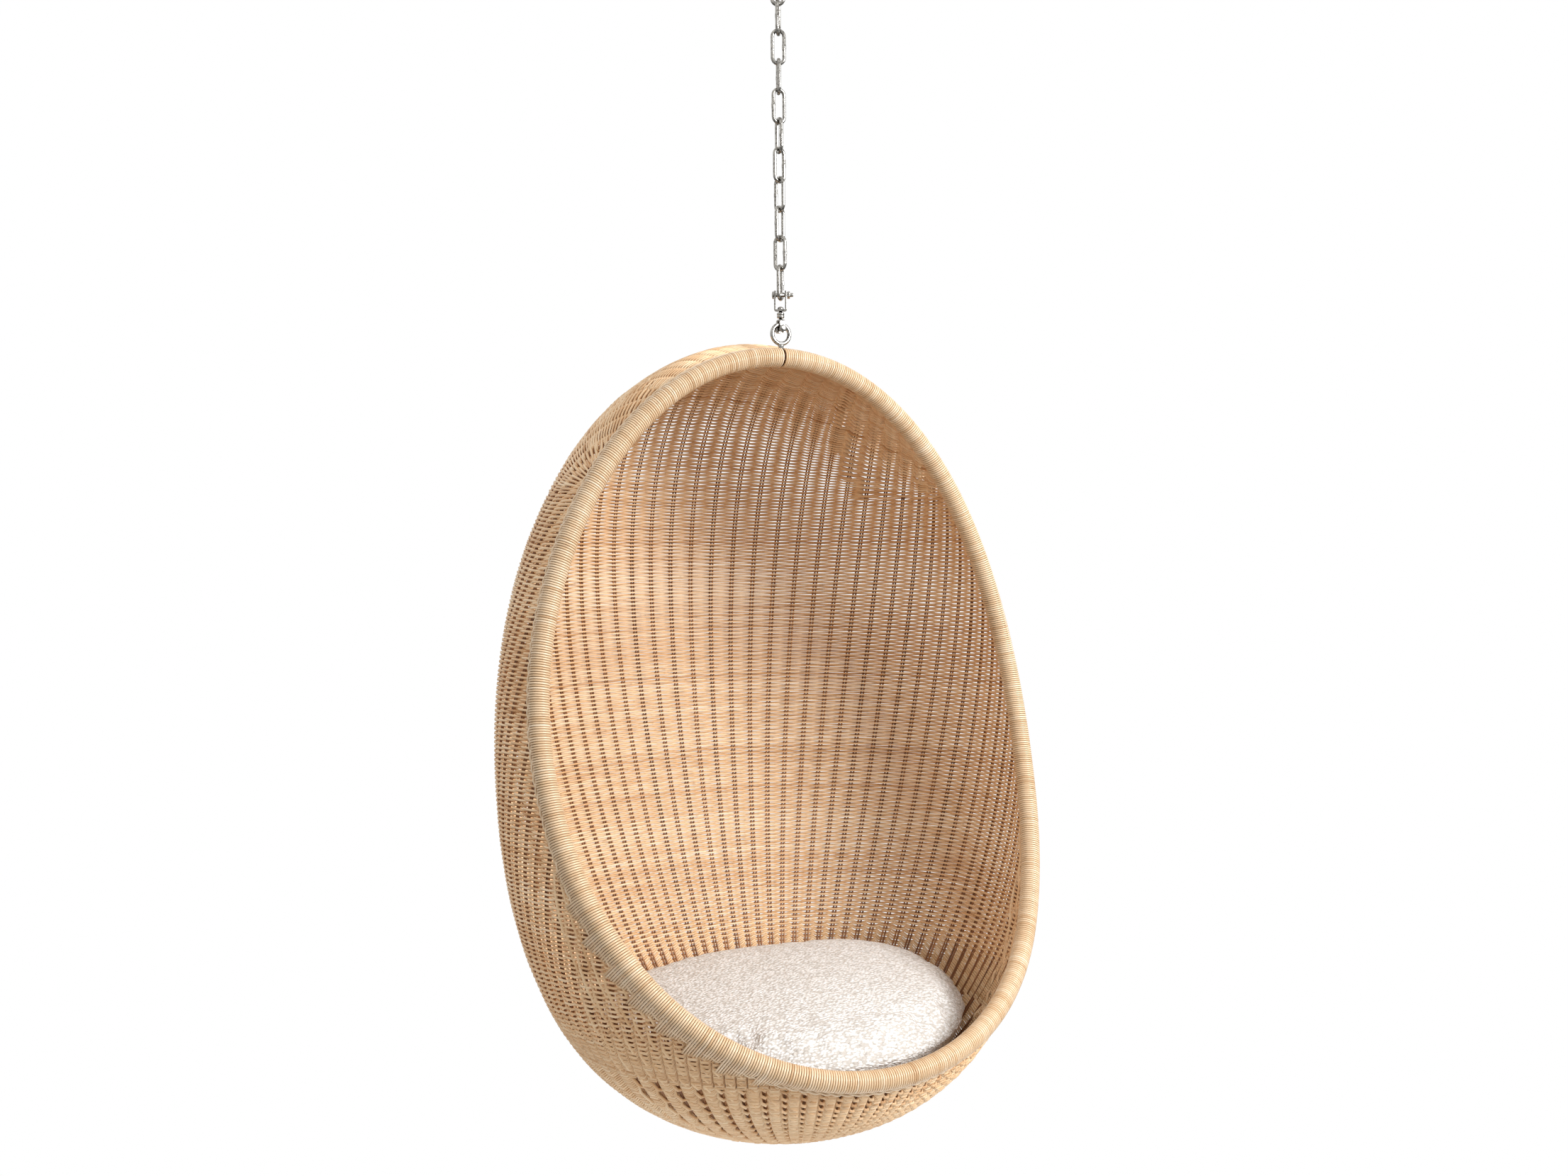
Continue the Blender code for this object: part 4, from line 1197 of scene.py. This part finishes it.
    def build(self, steel: bpy.types.Material, ceiling_yaw: float) -> None:
        """Makes every fitting and rides it on its body."""
        low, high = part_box("ceiling_eye")
        wire, radius = 3.5 * MM, 12.0 * MM
        centre = low.z + wire + radius
        settle(self.eye("ceiling_eye_ring", ceiling_yaw, radius, wire, centre, [
            (0, centre + 11 * MM), (3.2 * MM, centre + 11 * MM), (3.6 * MM, centre + 13.5 * MM),
            (5.6 * MM, -6.4 * MM), (4.0 * MM, -6.3 * MM), (4.0 * MM, high.z), (0, high.z)]),
            steel, Body.CEILING, "ceiling_eye", slot="ceiling_eye")
        dress_packed("ceiling_plate", steel)
        for side, yaw, body in (("upper", self.upper_yaw, Body.UPPER_JAW), ("lower", 90, Body.LOWER_JAW)):
            for make, part, kind in ((self.strap, "jaw", "strap"), (self.pin, "pin", "turned"),
                                     (self.nut, "nut", "hex")):
                node = f"{side}_{part}"
                settle(make(f"{node}_{kind}", node, yaw), steel, body, node, slot=node)
        self.collar(steel)
        self.post(steel)
        self.screw_eye(steel)

    def collar(self, steel: bpy.types.Material) -> None:
        """The ribbed thrust collar between the jaws."""
        low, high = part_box("swivel_collar")
        tall, r, bore = high.z - low.z, high.x, 2.9 * MM
        chamfer, groove = 1 * MM, 0.7 * MM
        outline = [(bore, low.z), (r - chamfer, low.z), (r, low.z + chamfer), (r, low.z + tall * 0.42),
                   (r - groove, low.z + tall * 0.48), (r - groove, low.z + tall * 0.52),
                   (r, low.z + tall * 0.58), (r, high.z - chamfer), (r - chamfer, high.z), (bore, high.z),
                   (bore, low.z)]
        bm = bmesh.new()
        turned(bm, outline, self.steps, Matrix.Identity(4))
        settle(object_of("swivel_collar_ribbed", bm), steel, Body.LOWER_JAW, "swivel_collar",
               slot="swivel_collar")

    def post(self, steel: bpy.types.Material) -> None:
        """The swivel's post and its domed head."""
        low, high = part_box("swivel_post")
        shaft, head, tall, straight = 2.6 * MM, 4.5 * MM, 5.0 * MM, 1.6 * MM
        outline = [(0, low.z), (shaft, low.z), (shaft, high.z - tall), (head, high.z - tall)]
        outline += [(head * math.cos(a), high.z - tall + straight + (tall - straight) * math.sin(a))
                    for a in np.linspace(0, math.pi / 2 - 0.1, 7)]
        outline.append((0, high.z))
        bm = bmesh.new()
        turned(bm, outline, self.steps, Matrix.Identity(4))
        settle(object_of("swivel_post_domed", bm), steel, Body.LOWER_JAW, "swivel_post", slot="swivel_post")

    def screw_eye(self, steel: bpy.types.Material) -> None:
        """The ring that the lower pin holds, its tapering neck and its shank in the rim pole."""
        low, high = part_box("screw_eye")
        radius, wire = 14.3 * MM, 3.2 * MM
        centre = high.z - wire - radius
        neck = centre - radius
        stem = [(0, neck + 0.5 * MM), (3.0 * MM, neck + 0.5 * MM), (4.6 * MM, neck - 1.5 * MM)]
        stem += [(4.5 * MM, neck - 3.2 * MM), (4.0 * MM, neck - 5.2 * MM), (4.0 * MM, low.z + 1 * MM),
                 (3.0 * MM, low.z), (0, low.z)]
        settle(self.eye("screw_eye_ring", 0, radius, wire, centre, stem), steel, Body.BASKET,
               "screw_eye", slot="screw_eye")


# ---------------------------------------------------------------- cushion
@dataclass
class Cushion:
    """The round seat cushion: foam in a boucle cover that is blown up, seamed at its edge and zipped behind."""

    voxel: float = 7.0 * MM
    pressure: float = 4.0
    frames: int = 18
    most_swell: float = 12.0 * MM
    seam_depth: float = 2.2 * MM
    seam_half: float = 5.0 * MM
    lean: float = 0.07  # rise per metre towards the back
    pucker: float = 1.6 * MM
    wave: float = 2.0 * MM
    zip_radius: float = 1.3 * MM
    zip_half: float = 1.2 * MM

    def start(self) -> bpy.types.Object:
        """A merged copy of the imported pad, remeshed."""
        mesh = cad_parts["cushion_pad"].data.copy()
        obj = bpy.data.objects.new("cushion_boucle_cover", mesh)
        bpy.context.scene.collection.objects.link(obj)
        bm = bmesh.new()
        bm.from_mesh(mesh)
        bmesh.ops.remove_doubles(bm, verts=bm.verts[:], dist=1e-5)
        bm.to_mesh(mesh)
        bm.free()
        self.apply(obj, "REMESH", mode="VOXEL", voxel_size=self.voxel)
        return obj

    def apply(self, obj: bpy.types.Object, kind: str, **settings) -> None:
        """Adds a modifier, sets it and makes its result the mesh."""
        modifier = obj.modifiers.new(kind.lower(), kind)
        for name, value in settings.items():
            setattr(modifier, name, value)
        self.keep_result(obj)

    def keep_result(self, obj: bpy.types.Object) -> None:
        """Makes what the modifiers show the mesh itself, and clears them."""
        graph = bpy.context.evaluated_depsgraph_get()
        made = bpy.data.meshes.new_from_object(obj.evaluated_get(graph))
        obj.modifiers.clear()
        obj.data = made

    def blow(self, obj: bpy.types.Object) -> None:
        """Blows the cover up as cloth, and caps how far any point moves."""
        rest = np.array([v.co for v in obj.data.vertices])
        cloth = obj.modifiers.new("cloth", "CLOTH")
        cloth.settings.use_pressure = True
        cloth.settings.uniform_pressure_force = self.pressure
        cloth.settings.effector_weights.gravity = 0
        cloth.settings.tension_stiffness = 25
        cloth.settings.compression_stiffness = 25
        cloth.settings.bending_stiffness = 2.0
        cloth.settings.quality = 5
        cloth.point_cache.frame_end = self.frames
        scene = bpy.context.scene
        for number in range(1, self.frames + 1):
            scene.frame_set(number)
        self.keep_result(obj)
        scene.frame_set(1)
        moved = np.array([v.co for v in obj.data.vertices]) - rest
        far = np.linalg.norm(moved, axis=1, keepdims=True)
        moved *= np.minimum(1, self.most_swell / np.maximum(far, 1e-9))
        obj.data.vertices.foreach_set("co", (rest + moved).ravel())
        obj.data.update()

    def crease(self, obj: bpy.types.Object) -> None:
        """Draws the cover in along its edge seam, with small puckers above and below it."""
        co = np.array([v.co for v in obj.data.vertices])
        middle = (co[:, 2].max() + co[:, 2].min()) / 2
        centre = co.mean(0)
        off = co - centre
        turn = np.arctan2(off[:, 1], off[:, 0])
        flat = np.hypot(off[:, 0], off[:, 1])
        ridge = middle + self.lean * off[:, 1]
        near = (co[:, 2] - ridge) / self.seam_half
        outer = np.clip((flat - 0.6 * flat.max()) / (0.2 * flat.max()), 0, 1)
        dip = self.seam_depth * np.exp(-near ** 2) * outer
        pucker = self.pucker * np.sin(turn * 46 + 3 * np.sin(turn * 5)) * np.exp(-(near / 5) ** 2) * outer
        pucker *= 0.5 + 0.5 * np.sin(turn * 3 + 1.0)
        inward = -off / np.maximum(1e-6, np.linalg.norm(off, axis=1, keepdims=True))
        co += (dip + np.maximum(0, pucker))[:, None] * inward
        # the top undulates a little, as loose filling does
        top = np.clip((co[:, 2] - ridge) / 0.05, 0, 1)
        co[:, 2] += top * self.wave * np.sin(off[:, 0] * 17 + 1) * np.sin(off[:, 1] * 14 + 2)
        obj.data.vertices.foreach_set("co", co.ravel())
        obj.data.update()

    def build(self, cloth: bpy.types.Material, tape: bpy.types.Material) -> None:
        """Makes the filled cover, which stands for the pad too, and its zip."""
        obj = self.start()
        self.blow(obj)
        self.crease(obj)
        self.apply(obj, "SUBSURF", levels=1, render_levels=1)
        obj.data.shade_smooth()
        settle(obj, cloth, Body.CUSHION, "cushion_cover", "cushion_pad", slot="cushion_cover")
        self.zip(obj, tape)

    def zip(self, cover: bpy.types.Object, tape: bpy.types.Material) -> None:
        """Lays a coil zip along the cover's back edge."""
        low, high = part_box("cushion_zip")
        tree = BVHTree.FromObject(cover, bpy.context.evaluated_depsgraph_get())
        batch = Strands(self.zip_radius)
        for rise in (-self.zip_half, self.zip_half):
            points = []
            for x in np.linspace(low.x, high.x, 60):
                z = (low.z + high.z) / 2 + rise
                hit = tree.ray_cast(Vector((x, high.y + 0.1, z)), Vector((0, -1, 0)))[0]
                if hit is not None:
                    points.append(np.array(hit) + [0, 0.4 * MM, 0])
            batch.lay(np.array(points), 0.5, rise)
        settle(batch.build("cushion_zip_coil"), tape, Body.CUSHION, "cushion_zip", slot="cushion_zip")


# ---------------------------------------------------------------- studio
@dataclass
class Studio:
    """A plain pale floor, soft light and the camera."""

    eye: Vector
    distance: float = 2.200
    azimuth: float = -27.97
    drop: float = 0.3227
    pitch: float = 1.438
    roll: float = -0.50
    trim: float = -0.0007
    lens: float = 33.80
    floor_drop: float = 0.42
    floor_radius: float = 0.72
    ceiling: float = 0.92
    ground: float = 0.12

    def camera(self) -> None:
        """Puts the camera before the chair, a little below the screw eye, looking slightly down."""
        a, e = math.radians(self.azimuth), math.radians(self.pitch)
        place = Vector((math.sin(a) * self.distance, -math.cos(a) * self.distance, self.eye.z - self.drop))
        ahead = Vector((-math.sin(a) * math.cos(e), math.cos(a) * math.cos(e), -math.sin(e)))
        ahead.rotate(Matrix.Rotation(self.trim, 3, "Z"))
        right = ahead.cross(Vector((0, 0, 1))).normalized()
        up = right.cross(ahead)
        tilt = math.radians(self.roll)
        right, up = (math.cos(tilt) * right + math.sin(tilt) * up,
                     -math.sin(tilt) * right + math.cos(tilt) * up)
        data = bpy.data.cameras.new("camera")
        data.sensor_width, data.lens = 36.0, self.lens
        data.clip_start, data.clip_end = 0.05, 60.0
        cam = bpy.data.objects.new("camera", data)
        bpy.context.scene.collection.objects.link(cam)
        turn = Matrix((right, up, -ahead)).transposed().to_4x4()
        cam.matrix_world = Matrix.Translation(place) @ turn
        bpy.context.scene.camera = cam

    def light(self, name: str, place: tuple[float, float, float], size: float, power: float,
              colour: str = "#FFFFFF") -> None:
        """Adds a square soft light that faces the chair.

        Args:
            name: The light's name.
            place: Where it stands.
            size: The length of its side.
            power: Its power in watts.
            colour: Its sRGB hex colour.
        """
        data = bpy.data.lights.new(name, "AREA")
        data.size, data.energy, data.color = size, power, linear(colour)[:3]
        lamp = bpy.data.objects.new(name, data)
        lamp.location = place
        lamp.rotation_mode = "QUATERNION"
        lamp.rotation_quaternion = (Vector((0, 0, self.eye.z - 0.6)) - lamp.location).to_track_quat("-Z", "Y")
        bpy.context.scene.collection.objects.link(lamp)

    def build(self) -> None:
        """Makes the floor, the world, the lights and the camera."""
        scene = bpy.context.scene
        scene.view_settings.view_transform = "Standard"
        world = bpy.data.worlds.new("studio")
        world.use_nodes = True
        tree = world.node_tree
        room = tree.nodes["Background"]
        room.inputs["Color"].default_value = linear("#FFFDFA")
        # the ceiling is bright and the ground dim, so undersides fall into shade
        ways = add(tree, "ShaderNodeTexCoord")
        height = add(tree, "ShaderNodeSeparateXYZ", links={0: ways.outputs["Generated"]})
        glow = add(tree, "ShaderNodeMapRange", {"From Min": -0.9, "From Max": 0.5, "To Min": self.ground,
                                                "To Max": self.ceiling}, {"Value": height.outputs[2]})
        tree.links.new(glow.outputs[0], room.inputs["Strength"])
        # the paper behind is lit by itself, so it shows white and adds no light of its own to the chair
        paper = add(tree, "ShaderNodeBackground", {"Color": (1, 1, 1, 1), "Strength": 1.0})
        rays = add(tree, "ShaderNodeLightPath")
        either = add(tree, "ShaderNodeMixShader", links={0: rays.outputs["Is Camera Ray"], 1: room.outputs[0],
                                                         2: paper.outputs[0]})
        tree.links.new(either.outputs[0], tree.nodes["World Output"].inputs["Surface"])
        scene.world = world
        bm = bmesh.new()
        bmesh.ops.create_circle(bm, cap_ends=True, segments=128, radius=self.floor_radius)
        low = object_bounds()[0].z - self.floor_drop
        bmesh.ops.translate(bm, verts=bm.verts[:], vec=(0, 0, low))
        floor = object_of("floor", bm, smooth=False)
        floor.data.materials.append(PlainFinish("studio_floor_painted", "#FFFFFF", "#FCFCFB", 0.8).build())
        floor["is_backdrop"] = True
        self.light("key", (1.5, -2.7, 0.2), 1.2, 118)
        self.camera()


def main() -> None:
    """Builds every piece in order, then the studio."""
    logging.basicConfig(level=logging.INFO, format="%(message)s")
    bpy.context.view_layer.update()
    foot = min(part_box(n)[0].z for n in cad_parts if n.startswith("woven_foot"))
    form = EggForm(foot_z=foot)
    weave_cane, stake_shade_cane, wrap_cane = WEAVE_CANE.build(), STAKE_CANE_PAINTED_SHADE.build(), WRAP_CANE.build()
    steel = STEEL.build()
    panels = sorted(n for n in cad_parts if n.startswith("woven_"))
    pieces = Weave(form).build()
    for number, piece in enumerate(pieces):
        # the stakes take the dark cane that paints the shade in the gaps beside them
        finish = stake_shade_cane if piece.name == "weave_stakes" else weave_cane
        stood_for = panels if number == 0 else []
        settle(piece, finish, Body.BASKET, *stood_for, slot=panels[min(number, len(panels) - 1)])
    for piece in Rim(form).build():
        node = "rim_border" if "border" in piece.name else "rim_binding"
        settle(piece, wrap_cane, Body.BASKET, node, slot=node)
    # the pole's dark brown is painted shade, seen only between the wrapping's turns
    dress_packed("rim_pole", POLE_CANE_PAINTED_SHADE.build())
    chain = Chain()
    chain.build(steel)
    Fittings().build(steel, chain.yaw(0) + 90)
    Cushion().build(BOUCLE.build(), ZIP_TAPE.build())
    Studio(Vector((0, 0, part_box("screw_eye")[1].z - 17.5 * MM))).build()


if __name__ == "__main__":
    main()
